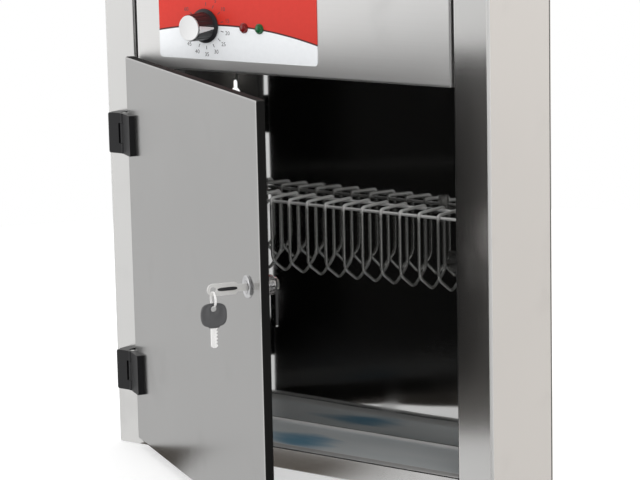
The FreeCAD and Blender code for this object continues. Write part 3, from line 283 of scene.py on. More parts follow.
def noise_of(tree, where, scale, detail):
    """A Noise Texture's value at a place."""
    node = tree.nodes.new("ShaderNodeTexNoise")
    for name, given in (("Vector", where), ("Scale", scale), ("Detail", detail)):
        join(tree, given, node.inputs[name])
    return node.outputs["Fac"]


def stretched(tree, where, scale):
    """A place with its three axes scaled apart, so that noise on it is drawn out."""
    node = tree.nodes.new("ShaderNodeMapping")
    join(tree, where, node.inputs["Vector"])
    join(tree, scale, node.inputs["Scale"])
    return node.outputs["Vector"]


def shaded(tree, color, value):
    """A colour made lighter or darker by a value about one."""
    node = tree.nodes.new("ShaderNodeHueSaturation")
    join(tree, color, node.inputs["Color"])
    join(tree, value, node.inputs["Value"])
    return node.outputs["Color"]


def relief_of(tree, height, strength, distance, under=None):
    """A Bump node's normal, laid over another normal when one is given."""
    node = tree.nodes.new("ShaderNodeBump")
    for name, given in (("Height", height), ("Strength", strength), ("Distance", distance),
                        ("Normal", under)):
        join(tree, given, node.inputs[name])
    return node.outputs["Normal"]


def build_grain():
    """Brushed sheet: noise on coordinates that are stretched across the grain and slack along
    it gives hairlines. Broad noise adds faint clouds, and a second broad noise, cut off low,
    adds handling marks that are a little duller. All shift tone and gloss."""
    group, given, result = new_group(
        "brushed_grain",
        [("Stretch", "Vector"), ("Color", "Color"), ("Roughness", "Float"),
         ("Hairline", "Float"), ("Clouds", "Float"), ("Marks", "Float"), ("Relief", "Float")],
        [("Color", "Color"), ("Roughness", "Float"), ("Normal", "Vector")])
    where = spot_on(group)
    hairs = noise_of(group, stretched(group, where, given["Stretch"]), 1, 4)
    clouds = noise_of(group, where, 7, 3)
    line = sum_of(group, "MULTIPLY", sum_of(group, "SUBTRACT", hairs, 0.5), given["Hairline"])
    cloud = sum_of(group, "MULTIPLY", sum_of(group, "SUBTRACT", clouds, 0.5), given["Clouds"])
    both = sum_of(group, "ADD", line, cloud)
    touched = ramped(group, noise_of(group, where, 16, 5), 0.56, 0.72, smooth=True)
    mark = sum_of(group, "MULTIPLY", touched, given["Marks"])
    rough = sum_of(group, "ADD", given["Roughness"], both)
    light = sum_of(group, "MULTIPLY_ADD", mark, -0.5, sum_of(group, "ADD", both, 1))
    join(group, sum_of(group, "ADD", rough, mark), result["Roughness"])
    join(group, shaded(group, given["Color"], light), result["Color"])
    join(group, relief_of(group, hairs, given["Relief"], 0.00002), result["Normal"])
    return group


BRUSHED_GRAIN = build_grain()


def brushed(name, color, roughness, stretch, hairline=0.06, clouds=0.05, marks=0.06,
            relief=0.10):
    """A brushed metal, with the grain group feeding its tone, gloss and normal."""
    material = new_material(name, Metallic=1)
    grain = material.node_tree.nodes.new("ShaderNodeGroup")
    grain.node_tree = BRUSHED_GRAIN
    for socket, given in zip(grain.inputs, (stretch, color, roughness, hairline, clouds, marks,
                                            relief)):
        socket.default_value = given
    return feed(material, Base_Color=grain.outputs["Color"],
                Roughness=grain.outputs["Roughness"], Normal=grain.outputs["Normal"])


def feeding(material, name):
    """The socket that feeds one of a material's shader sockets."""
    shader = material.node_tree.nodes["Principled BSDF"]
    return shader.inputs[name].links[0].from_socket


def worn(material, share):
    """Makes a metal paler, rougher and less mirror-like where a mask socket is 1, as a
    painted highlight.
    """
    tree = material.node_tree
    return feed(material, Metallic=sum_of(tree, "MULTIPLY_ADD", share, -0.6, 1),
                Roughness=sum_of(tree, "MULTIPLY_ADD", share, 0.3,
                                 feeding(material, "Roughness")))


def build_side_sheet():
    """Upright brushed sheet, made pale along its folded front corners as a painted highlight of
    the bends: the mask is where both the sideways distance and the depth are within the
    highlight's width of the corner."""
    material = brushed("brushed_upright", STEEL, 0.20, GRAIN_UP)
    tree = material.node_tree
    parts = parts_of(tree, spot_on(tree))
    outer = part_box("side_panel_right")[1].x
    aside = sum_of(tree, "GREATER_THAN", sum_of(tree, "ABSOLUTE", parts["X"]),
                   outer - CORNER_HIGHLIGHT)
    ahead = sum_of(tree, "LESS_THAN", parts["Y"], front_y + CORNER_HIGHLIGHT)
    # Painted highlight along the folded front corners.
    return worn(material, sum_of(tree, "MULTIPLY", aside, ahead))


def build_base_sheet():
    """Level brushed sheet whose front rail is made pale along its top, above a height, as a
    painted highlight.
    """
    material = brushed("brushed_base", STEEL, 0.22, GRAIN_ACROSS)
    tree = material.node_tree
    # Painted highlight along the top of the front rail.
    return worn(material, sum_of(tree, "GREATER_THAN", parts_of(tree, spot_on(tree))["Z"],
                                 base_z + RAIL_HIGHLIGHT_UP))


def paint(material, *nodes):
    """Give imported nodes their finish."""
    for node in nodes:
        for held in frame["nodes"][node].material_slots:
            held.material = material


paint(build_side_sheet(), "side_panel_left", "side_panel_right")
paint(brushed("brushed_level", STEEL, 0.22, GRAIN_ACROSS), "top_panel", "floor_panel",
      "chamber_ceiling", "rack_hooks")
paint(build_base_sheet(), "bottom_panel")

# Back wall: stainless sheet with a mirror polish, in which the rack and the bright floor
# outside show again, and which the dark room leaves almost black. It leans back a little.
WALL_LEAN, WALL_WAVES = math.radians(1.95), 0.0004


def build_back_sheet():
    """Polished sheet whose relief falls with height by the tangent of the lean, so that it
    mirrors as a wall that leans back, with a slight waviness from a broad noise."""
    material = brushed("polished_back", (0.60, 0.60, 0.595, 1), 0.05, GRAIN_ACROSS, 0.03,
                       0.04, 0.05, 0.01)
    tree = material.node_tree
    where = spot_on(tree)
    fall = sum_of(tree, "MULTIPLY", parts_of(tree, where)["Z"], -math.tan(WALL_LEAN))
    height = sum_of(tree, "MULTIPLY_ADD", noise_of(tree, where, 9, 1), WALL_WAVES, fall)
    return feed(material, Normal=relief_of(tree, height, 1, 1, feeding(material, "Normal")))


paint(build_back_sheet(), "back_panel")

# Fascia: folded pan in front of the controls, brushed along its length and duller than the
# shell. It is held by screws in its upper rim, zinc-plated as the nuts inside are.
paint(brushed("brushed_fascia", (0.82, 0.815, 0.805, 1), 0.40, GRAIN_ACROSS), "fascia")
paint(brushed("zinc_plate", (0.60, 0.60, 0.58, 1), 0.30, GRAIN_EVEN), "hinge_frame_nuts",
      "hinge_door_nuts", "fascia_screws", "lock_nut", "timer_nut", "cam_screw")

# Door: outer pan brushed upright, with a polished inner pan welded into its back. Its folded
# hems are made dull and dark as painted shade, and the inner pan's near-black tone is painted
# shade too. Places on it are millimetres in the door's frame: along the door from the hinge
# axis, back from that axis, and up from the cabinet's base.
DOOR_REST = math.radians(32.5)
DOOR_END, DOOR_TOP, HEM_WIDTH = 386.0, 394.0, 0.5
HEM_SHADE, HEM_DULL = (0.05, 0.049, 0.048, 1), 0.65
hinge_axis = np.array(next(joint["pos_m"] for joint in frame["joints"]
                           if joint["name"] == "door_swing"))


def build_door_sheet():
    """Brushed sheet that darkens and dulls within a hem's width of the top and of the free
    edge, as painted shade: the distance along the door is a dot product with its direction."""
    material = brushed("brushed_door", (0.62, 0.615, 0.605, 1), 0.20, GRAIN_UP, 0.05, 0.05,
                       0.05)
    tree = material.node_tree
    where = spot_on(tree)
    heading = Vector((math.cos(DOOR_REST), -math.sin(DOOR_REST), 0))
    end = heading.dot(Vector(hinge_axis)) + (DOOR_END - HEM_WIDTH) / 1000
    free_edge = sum_of(tree, "GREATER_THAN", vector_of(tree, "DOT_PRODUCT", where, heading), end)
    top = sum_of(tree, "GREATER_THAN", parts_of(tree, where)["Z"],
                 base_z + (DOOR_TOP - HEM_WIDTH) / 1000)
    # Painted shade on the door's top and free edges.
    hem = sum_of(tree, "MAXIMUM", free_edge, top)
    return feed(material, Base_Color=mixed(tree, hem, feeding(material, "Base Color"), HEM_SHADE),
                Roughness=sum_of(tree, "MULTIPLY_ADD", hem, HEM_DULL,
                                 feeding(material, "Roughness")))


paint(build_door_sheet(), "door_skin")
# The door's inner pan: its near-black tone is painted shade.
paint(brushed("liner_painted_shade", (0.12, 0.118, 0.115, 1), 0.13, GRAIN_UP), "door_liner")

# Hinges: black nylon mouldings with a fine spark-eroded skin, on ground steel pins. The
# door's magnet is a sintered block of its own.


def moulded(name, color, roughness, speck, relief, **sources):
    """Moulded plastic: a fine noise speckles the surface, and a broader one shifts the gloss
    and tone a little."""
    material = new_material(name, **sources)
    tree = material.node_tree
    where = spot_on(tree)
    broad = noise_of(tree, where, 60, 3)
    fine = noise_of(tree, where, speck, 2)
    light = sum_of(tree, "MULTIPLY_ADD", broad, 0.24, 0.88)
    return feed(material, Base_Color=shaded(tree, color, light),
                Roughness=sum_of(tree, "MULTIPLY_ADD", broad, 0.16, roughness - 0.08),
                Normal=relief_of(tree, fine, relief, 0.0001))


paint(moulded("hinge_nylon", (0.009, 0.009, 0.010, 1), 0.36, 1800, 0.3, Specular_IOR_Level=0.3),
      "hinge_upper_frame_leaf", "hinge_upper_door_leaf", "hinge_lower_frame_leaf",
      "hinge_lower_door_leaf", "hinge_spacers")
paint(brushed("pin_steel", (0.55, 0.55, 0.55, 1), 0.25, GRAIN_UP), "hinge_upper_pin",
      "hinge_lower_pin", "timer_shaft")
paint(moulded("sintered_magnet", (0.06, 0.06, 0.065, 1), 0.6, 2500, 0.5), "door_magnet")

# Lock: chromed brass housing with a rolled bezel and a threaded barrel, and a plug that turns
# in it. Sizes are millimetres in the door's frame.
LOCK_AT = (354.0, 1.5, 228.0)
BEZEL_RADIUS, BEZEL_HEIGHT, BEZEL_BEND, BORE_RADIUS = 10.2, 2.2, 1.1, 5.55
BARREL_RADIUS, BARREL_LENGTH, THREAD_PITCH, THREAD_WAVE = 9.0, 22.5, 1.2, 0.28


def on_door(points):
    """Door-frame millimetres to row-frame metres: turned about the hinge axis by the angle at
    which the door stands open, and raised from the base."""
    x, y, z = np.moveaxis(np.asarray(points, float) / 1000, -1, 0)
    cosine, sine = math.cos(DOOR_REST), math.sin(DOOR_REST)
    return np.stack([hinge_axis[0] + x * cosine + y * sine,
                     hinge_axis[1] - x * sine + y * cosine, base_z + z], axis=-1)


def on_lock(points):
    """Lock-frame millimetres, across, up and out of the door, to row-frame metres."""
    x, y, z = np.moveaxis(np.asarray(points, float), -1, 0)
    return on_door(np.stack([LOCK_AT[0] + x, LOCK_AT[1] - z, LOCK_AT[2] + y], axis=-1))


def finished(name, points, faces, material, merge=False):
    """A piece from points and faces, its doubles merged if asked, its faces turned outwards."""
    mesh = bpy.data.meshes.new(name)
    mesh.from_pydata(points.tolist(), [], faces)
    built = bmesh.new()
    built.from_mesh(mesh)
    if merge:
        bmesh.ops.remove_doubles(built, verts=built.verts, dist=1e-7)
    bmesh.ops.recalc_face_normals(built, faces=built.faces)
    built.to_mesh(mesh)
    built.free()
    mesh.materials.append(material)
    made = bpy.data.objects.new(name, mesh)
    scene.collection.objects.link(made)
    return made


def skin(name, blocks, material, closed=False, crease=35):
    """One mesh from blocks of points in rows, each row a ring: quads join each ring to the
    next, and the ends are capped, or joined to each other when closed."""
    points, faces, start = [], [], 0
    for block in blocks:
        count, around = block.shape[:2]
        index = np.arange(count * around).reshape(count, around) + start
        here = index if closed else index[:-1]
        follow = np.roll(index, -1, axis=0) if closed else index[1:]
        quads = np.stack([here, np.roll(here, -1, 1), np.roll(follow, -1, 1), follow], axis=-1)
        faces += quads.reshape(-1, 4).tolist()
        if not closed:
            faces += [index[0][::-1].tolist(), index[-1].tolist()]
        points.append(block.reshape(-1, 3))
        start += count * around
    made = finished(name, np.concatenate(points), faces, material, merge=True)
    made.data.shade_smooth()
    made.data.set_sharp_from_angle(angle=math.radians(crease))
    return made


def turned(profile, around, wave=None):
    """Rings of a turned form: each profile point (radius, height) goes round the local axis.
    A wave, a function of height and angle, is added to the radius."""
    radius, height = np.asarray(profile, float).T
    angle = round_steps(around)
    swell = wave(height[:, None], angle[None, :]) if wave else np.zeros((1, around))
    reach = radius[:, None] + swell
    return np.stack([reach * np.cos(angle), reach * np.sin(angle),
                     np.broadcast_to(height[:, None], reach.shape)], axis=-1)


def put(piece, body, slot, *nodes):
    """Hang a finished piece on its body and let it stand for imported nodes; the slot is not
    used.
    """
    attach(piece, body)
    if nodes:
        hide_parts(*nodes)


def rolled(radius, height, bend, first, last, count):
    """A rolled edge in a profile: an arc with a bend's radius about the point (radius less
    bend, height), from one angle to another."""
    swing = np.linspace(first, last, count)
    return np.stack([radius - bend + bend * np.cos(swing), height + bend * np.sin(swing)], axis=1)


def bezel_outline():
    """Bezel and barrel from the bore's front edge outwards and back: a raised lip, a shallow
    dish, a rolled rim, a flange, then the barrel, at the middle of its thread, and its bore."""
    rim = rolled(BEZEL_RADIUS, BEZEL_HEIGHT - BEZEL_BEND, BEZEL_BEND, math.pi / 2, -math.pi / 3,
                 9)
    face = [(BORE_RADIUS, 1.5), (BORE_RADIUS + 0.15, 1.8), (BORE_RADIUS + 0.7, 1.8),
            (BORE_RADIUS + 1.2, 1.55), (BEZEL_RADIUS - 2.2, 1.75)]
    middle = BARREL_RADIUS - 0.3
    back = [(BEZEL_RADIUS - 0.3, 0), (middle, 0)]
    thread = [(middle, depth)
              for depth in np.arange(-0.3, -BARREL_LENGTH + 0.2, -THREAD_PITCH / 5)]
    end = [(BARREL_RADIUS - 0.8, -BARREL_LENGTH), (BORE_RADIUS, -BARREL_LENGTH)]
    return np.concatenate([face, rim, back, thread, end])


def build_housing(material):
    """Lock housing. The thread is a true helix: its crest follows height plus angle."""
    def wave(height, angle):
        cut = THREAD_WAVE * np.cos(2 * math.pi * height / THREAD_PITCH - angle)
        return np.where((height < -0.2) & (height > -BARREL_LENGTH + 0.1), cut, 0)

    return skin("lock_barrel", [on_lock(turned(bezel_outline(), 48, wave))], material,
                closed=True)


LOCK_CHROME = brushed("lock_chrome", (0.80, 0.80, 0.81, 1), 0.10, GRAIN_EVEN, 0.03, 0.03, 0.06,
                      0.01)
put(build_housing(LOCK_CHROME), "door", "lock_chrome", "lock_housing")
paint(LOCK_CHROME, "lock_plug", "lock_cam")

# Keys: nickel-plated brass, stamped and bevelled. The one in the lock has a dark grip along
# its bow, and the spare one a moulded head. They hang together on a two-turn split ring.
# Sizes are millimetres in the lock's and the spare key's own frames.
KEY_GAUGE, BOW_HALF, BLADE_HALF = 1.5, 5.5, 3.2
BOW_START, HOLE_OUT, HOLE_RADIUS = 11.0, 32.0, 2.75
RING_RADIUS, RING_WIRE, RING_SEAT = 6.4, 0.5, 0.9
ring_top = LOCK_AT[2] - HOLE_RADIUS + RING_SEAT
ring_low = ring_top - 2 * RING_RADIUS
HEAD_RADIUS, HEAD_HALF, HEAD_GAUGE, HEAD_HOLE_UP = 11.8, 10.4, 2.8, 5.5
GRIP_HALF, GRIP_FROM, GRIP_TO, GRIP_SQUARE = (1.7, 1.6), 9.5, 28.7, 0.6
HEAD_PRESS, NECK_HALF, NECK_DROP, SPARE_BLADE = 1.35, 4.6, 1.1, 18.5
spare_at = (LOCK_AT[0], LOCK_AT[1] - HOLE_OUT,
            ring_low + RING_SEAT - HOLE_RADIUS - HEAD_HOLE_UP)


def plate_rings(outline, centre, hole, gauge, bevel, relief=()):
    """Rings of a flat form with a round hole, closed on themselves: the outline at both faces
    with a bevel, rings drawn in towards the hole, and the hole's wall. Ring k is the outline
    moved a share of the way towards the point of the hole's edge that lies in line with it."""
    outline = np.asarray(outline, float)
    away = outline - centre
    edge = centre + hole * away / np.linalg.norm(away, axis=1, keepdims=True)
    inward = (edge - outline) / np.linalg.norm(edge - outline, axis=1, keepdims=True)
    half = gauge / 2
    upper = [(outline + inward * bevel, half)]
    upper += [(outline + (edge - outline) * share, half + rise) for share, rise in relief]
    upper += [(edge - inward * bevel * 0.6, half), (edge, half - bevel * 0.6)]
    rings = [(outline, half - bevel)] + upper
    rings += [(flat, -height) for flat, height in rings[::-1]]
    return np.stack([np.concatenate([flat, np.full((len(flat), 1), height)], axis=1)
                     for flat, height in rings])


def key_outline():
    """Half-widths along the key, from the blade to the round end of the bow: straight sides,
    smoothstep shoulders, then a half circle about the hole."""
    along = np.concatenate([np.linspace(-17, BOW_START - 2.4, 12),
                            np.linspace(BOW_START - 2.0, BOW_START + 1.0, 9),
                            np.linspace(BOW_START + 3, HOLE_OUT, 8)])
    rise = np.clip((along - BOW_START + 2.0) / 3.0, 0, 1)
    half = BLADE_HALF + (BOW_HALF - BLADE_HALF) * rise * rise * (3 - 2 * rise)
    swing = np.linspace(math.pi / 2, -math.pi / 2, 25)[1:-1]
    end = np.stack([BOW_HALF * np.sin(swing), HOLE_OUT + BOW_HALF * np.cos(swing)], axis=1)
    right = np.stack([half, along], axis=1)
    left = np.stack([-half, along], axis=1)[::-1]
    return np.concatenate([right, end, left])


def build_door_key(material):
    """Key in the lock, flat in the upright plane through the lock: its outline's two
    coordinates are up and out of the door."""
    flat = plate_rings(key_outline(), np.array([0, HOLE_OUT]), HOLE_RADIUS, KEY_GAUGE, 0.25)
    up, out, thick = np.moveaxis(flat, -1, 0)
    return skin("key_in_lock", [on_lock(np.stack([thick, up, out], axis=-1))], material,
                closed=True, crease=40)


def build_grip(material):
    """Grip moulded through a slot along the middle of the bow: a superellipse section carried
    along the bow and drawn in at both ends by the square root of a quartic."""
    along = np.linspace(-1, 1, 25)
    draw = np.sqrt(np.clip(1 - along ** 4, 0.02, 1))
    angle = round_steps(20)
    lobe = np.sign(np.cos(angle)) * np.abs(np.cos(angle)) ** GRIP_SQUARE
    side = np.sign(np.sin(angle)) * np.abs(np.sin(angle)) ** GRIP_SQUARE
    middle, reach = (GRIP_FROM + GRIP_TO) / 2, (GRIP_TO - GRIP_FROM) / 2
    rings = np.stack([GRIP_HALF[0] * draw[:, None] * lobe[None, :],
                      GRIP_HALF[1] * draw[:, None] * side[None, :],
                      np.broadcast_to((middle + reach * along)[:, None], (25, 20))], axis=-1)
    return skin("key_grip", [on_lock(rings)], material)


def spare_outline():
    """Outline of the moulded head: a circle whose height is pressed flat above and below by
    a soft limit, then a short neck where the blade comes out."""
    angle = round_steps(96) + math.pi / 2
    wide, tall = HEAD_RADIUS * np.cos(angle), HEAD_RADIUS * np.sin(angle)
    limit = np.tanh(HEAD_RADIUS / HEAD_HALF * HEAD_PRESS)
    tall = HEAD_HALF * np.tanh(tall / HEAD_HALF * HEAD_PRESS) / limit
    neck = np.where((tall < 0) & (np.abs(wide) < NECK_HALF), -NECK_DROP, 0.0)
    return np.stack([wide, tall + neck], axis=1)


def on_spare(points):
    """Spare-key millimetres, thickness, along the door's normal and up, to row metres."""
    thick, out, up = np.moveaxis(np.asarray(points, float), -1, 0)
    return on_door(np.stack([spare_at[0] + thick, spare_at[1] - out, spare_at[2] + up], axis=-1))


def build_spare_head(material):
    """Moulded head with a raised rim round a shallow panel and round the hole: the height
    steps down and up again between shares of the way from the outline to the hole."""
    panel = ((0.16, 0.0), (0.22, -0.35), (0.62, -0.35), (0.70, 0.0))
    rings = plate_rings(spare_outline(), np.array([0, HEAD_HOLE_UP]), HOLE_RADIUS, HEAD_GAUGE,
                        0.6, panel)
    out, up, thick = np.moveaxis(rings, -1, 0)
    return skin("spare_key_bow", [on_spare(np.stack([thick, out, up], axis=-1))], material,
                closed=True, crease=50)


def build_spare_blade(material):
    """Blade: two straight edges with a pointed tip, five cuts in one edge as short cosine
    dips, and a milled groove down each face, as rings across the blade's thickness."""
    along = np.linspace(-HEAD_HALF + 4, -HEAD_HALF - SPARE_BLADE, 90)
    tip = np.clip((along + HEAD_HALF + SPARE_BLADE) / 1.6, 0, 1)
    reach = -HEAD_HALF - 1.5 - along
    bite = 0.5 - 0.5 * np.cos(2 * math.pi * np.clip(reach, 0, 15) / 3.0)
    deep = np.interp(reach, (0, 3, 6, 9, 12, 15), (1.4, 0.9, 1.7, 1.1, 1.8, 0.8))
    cut_edge = -(BLADE_HALF - 1.6 * (1 - tip)) + deep * bite * (reach > 0)
    plain_edge = BLADE_HALF - 1.6 * (1 - tip)
    share = np.array([0, 0.04, 0.30, 0.36, 0.48, 0.54, 0.96, 1.0])
    lift = np.array([0.45, 0.75, 0.75, 0.42, 0.42, 0.75, 0.75, 0.45])
    across_blade = cut_edge[:, None] + (plain_edge - cut_edge)[:, None] * share[None, :]
    top = np.stack([np.broadcast_to(lift, across_blade.shape), across_blade,
                    np.broadcast_to(along[:, None], across_blade.shape)], axis=-1)
    under = top[:, ::-1].copy()
    under[..., 0] *= -1
    return skin("spare_key_shank", [on_spare(np.concatenate([top, under], axis=1))], material,
                crease=30)


def tube_rings(path, radius, around, closed=False):
    """A round section carried along a path: at each point, radius times the cosine and sine
    of even angles along two directions square to the path, the second as near as can be to
    the path's own steady sideways direction."""
    path = np.asarray(path, float)
    ahead = (np.roll(path, -1, 0) - np.roll(path, 1, 0)) if closed else np.gradient(path, axis=0)
    ahead /= np.linalg.norm(ahead, axis=1, keepdims=True)
    middle = path - path.mean(0)
    steady = np.linalg.svd(middle, full_matrices=False)[2][2]
    side = steady - ahead * (ahead @ steady)[:, None]
    side /= np.linalg.norm(side, axis=1, keepdims=True)
    other = np.cross(ahead, side)
    angle = round_steps(around)
    return (path[:, None] + radius * (np.cos(angle)[None, :, None] * side[:, None]
                                      + np.sin(angle)[None, :, None] * other[:, None]))


def build_ring(material):
    """Split ring: two turns of a circle whose sideways place steps over by one wire, by a
    smoothstep in the middle of the way round."""
    turn = np.linspace(0, 2, 121)
    step = np.clip((turn - 0.85) / 0.3, 0, 1)
    sideways = (step * step * (3 - 2 * step) - 0.5) * RING_WIRE * 2
    angle = 2 * math.pi * turn + 0.6
    path = np.stack([LOCK_AT[0] + RING_RADIUS * np.sin(angle),
                     LOCK_AT[1] - HOLE_OUT + sideways,
                     ring_top - RING_RADIUS + RING_RADIUS * np.cos(angle)], axis=1)
    return skin("split_ring", [tube_rings(on_door(path), RING_WIRE / 1000, 12)], material)


def nickel(name, color, metal):
    """Satin nickel plate: the brushed finish, less than fully metallic. Its pale half-matt
    tone is partly the nickel's own and partly painted highlight standing in for glints.
    """
    return feed(brushed(name, color, 0.26, (90, 90, 600)), Metallic=metal)


KEY_NICKEL = nickel("key_nickel", (0.83, 0.82, 0.80, 1), 0.42)
# Near-white and nearly matt: mostly painted highlight, for the glints on the ring and blade.
BRIGHT_NICKEL = nickel("bright_nickel", (0.95, 0.94, 0.93, 1), 0.22)
KEY_GRIP = moulded("key_grip_plastic", (0.020, 0.020, 0.022, 1), 0.45, 1500, 0.3)
KEY_HEAD = moulded("key_head_plastic", (0.085, 0.085, 0.088, 1), 0.40, 1500, 0.5)
put(build_door_key(KEY_NICKEL), "lock_cylinder", "key_nickel", "door_key")
put(build_grip(KEY_GRIP), "lock_cylinder", "key_head_plastic")
put(build_ring(BRIGHT_NICKEL), "key_ring", "lock_chrome", "key_ring")
put(build_spare_head(KEY_HEAD), "spare_key", "key_head_plastic", "spare_key_head")
put(build_spare_blade(BRIGHT_NICKEL), "spare_key", "key_nickel", "spare_key_blade")

# Label: polyester sheet printed red above a low arch and white below it, with a dark line
# between them and a dial of minutes round the knob. The arch is in metres, the dial in
# millimetres of the cabinet's frame.
ARCH_TOP, ARCH_MIDDLE, ARCH_FALL = 0.4282, -0.075, 1.136
DIAL_AT = (-97.0, 427.0)
LABEL_FACE = -0.6
ARCH_LINE_IN, ARCH_LINE_OUT, ARCH_SOFT = 0.0006, 0.0009, 0.0002
DIAL_MARKS, DIAL_STEP, DIAL_START = 13, 25, 87
NUMBER_SIZE, NUMBER_REACH, NUMBER_RISE = 5.4, 27.5, 0.02
BAR_IN, BAR_OUT, BAR_HALF, BAR_RISE = 19.2, 22.6, 0.35, 0.04


def build_label_print():
    """Red or white by the height of a point over the arch: top minus fall times the square of
    the distance from the arch's middle. A narrow band each side of it is dark."""
    material = new_material("label_print", Specular_IOR_Level=0.25)
    tree = material.node_tree
    where = spot_on(tree)
    parts = parts_of(tree, where)
    off = sum_of(tree, "SUBTRACT", parts["X"], ARCH_MIDDLE)
    arch = sum_of(tree, "MULTIPLY_ADD", sum_of(tree, "MULTIPLY", off, off), -ARCH_FALL,
                  ARCH_TOP + base_z)
    above = sum_of(tree, "SUBTRACT", parts["Z"], arch)
    side = ramped(tree, above, -ARCH_SOFT, ARCH_SOFT)
    line = ramped(tree, sum_of(tree, "ABSOLUTE", above), ARCH_LINE_IN, ARCH_LINE_OUT, 1, 0)
    ink = noise_of(tree, where, 220, 3)
    white = mixed(tree, ink, (0.86, 0.88, 0.90, 1), (0.93, 0.95, 0.97, 1))
    red = mixed(tree, ink, (0.60, 0.034, 0.022, 1), (0.67, 0.040, 0.027, 1))
    return feed(material, Roughness=sum_of(tree, "MULTIPLY_ADD", ink, 0.10, 0.32),
                Base_Color=mixed(tree, line, mixed(tree, side, white, red),
                                 (0.07, 0.02, 0.02, 1)))


def from_cabinet(points):
    """Cabinet-frame millimetres, across, back from the front face and up, to row metres."""
    return np.asarray(points, float) / 1000 + np.array([0, front_y, base_z])


def build_dial(material):
    """Minutes round the knob: numbers at even steps clockwise from the top, and a short bar
    between the knob's skirt and each. A number is text made a mesh, then moved to radius
    times cosine and sine of its angle."""
    order = np.arange(DIAL_MARKS)
    angle = np.radians(DIAL_START - DIAL_STEP * order)
    cosine, sine = np.cos(angle), np.sin(angle)
    points, faces, start = [], [], 0
    for minutes, aside, up in zip(order * 5, cosine, sine):
        curve = bpy.data.curves.new("number", "FONT")
        curve.body = str(minutes)
        curve.size = NUMBER_SIZE
        curve.align_x, curve.align_y = "CENTER", "CENTER"
        curve.extrude = NUMBER_RISE
        source = bpy.data.objects.new("number", curve)
        mesh = bpy.data.meshes.new_from_object(source)
        flat = np.empty(len(mesh.vertices) * 3)
        mesh.vertices.foreach_get("co", flat)
        flat = flat.reshape(-1, 3)
        place = np.array([DIAL_AT[0] + NUMBER_REACH * aside, LABEL_FACE - NUMBER_RISE,
                          DIAL_AT[1] + NUMBER_REACH * up])
        points.append(place + flat[:, (0, 2, 1)] * (1, -1, 1))
        faces += [[start + corner for corner in face.vertices] for face in mesh.polygons]
        start += len(flat)
        bpy.data.objects.remove(source)
    out = np.array([BAR_IN, BAR_OUT, BAR_OUT, BAR_IN])
    side = np.array([-BAR_HALF, -BAR_HALF, BAR_HALF, BAR_HALF])
    across_dial = DIAL_AT[0] + out * cosine[:, None] - side * sine[:, None]
    up_dial = DIAL_AT[1] + out * sine[:, None] + side * cosine[:, None]
    for depth in (LABEL_FACE - BAR_RISE, LABEL_FACE):
        points.append(np.stack([across_dial, np.full(up_dial.shape, depth), up_dial],
                               axis=-1).reshape(-1, 3))
    front = np.arange(DIAL_MARKS * 4).reshape(DIAL_MARKS, 4) + start
    behind = front + DIAL_MARKS * 4
    walls = np.stack([front, behind, np.roll(behind, -1, 1), np.roll(front, -1, 1)], axis=-1)
    faces += front.tolist() + behind[:, ::-1].tolist() + walls.reshape(-1, 4).tolist()
    return finished("dial_numbers", from_cabinet(np.concatenate(points)), faces, material)


paint(build_label_print(), "control_label")
put(build_dial(moulded("dial_ink", (0.06, 0.05, 0.055, 1), 0.45, 900, 0.05)), "cabinet",
    "label_print")

# Timer knob: black moulding with a skirt and a fluted, slightly tapered grip, a raised pale
# pointer down its side and a turned aluminium disc let into its top. Sizes are millimetres.
KNOB_STAND, SKIRT_RADIUS, SKIRT_TOP = 0.8, 16.5, 3.8
GRIP_RADIUS, GRIP_TOP, GRIP_TAPER, CAP_RADIUS = 13.6, 24.0, 0.9, 12.2
FLUTES, FLUTE_DEPTH, SHAFT_RADIUS, HOLLOW_RADIUS = 14, 0.9, 3.02, 10.0
POINTER_TURN = math.radians(-6)
GROOVES = 16000


def on_timer(points):
    """Timer-frame millimetres, across, up and out of the label, to row metres."""
    x, y, z = np.moveaxis(np.asarray(points, float), -1, 0)
    return from_cabinet(np.stack([DIAL_AT[0] + x, LABEL_FACE - z, DIAL_AT[1] + y], axis=-1))


def grip_radius(height):
    """The grip tapers evenly over its height and rounds in over its last millimetre."""
    rise = np.clip((height - SKIRT_TOP) / (GRIP_TOP - SKIRT_TOP), 0, 1)
    turn_in = np.clip(height - GRIP_TOP + 1.0, 0, 1)
    return GRIP_RADIUS - GRIP_TAPER * rise - (1 - np.sqrt(1 - 0.99 * turn_in ** 2)) * 0.9


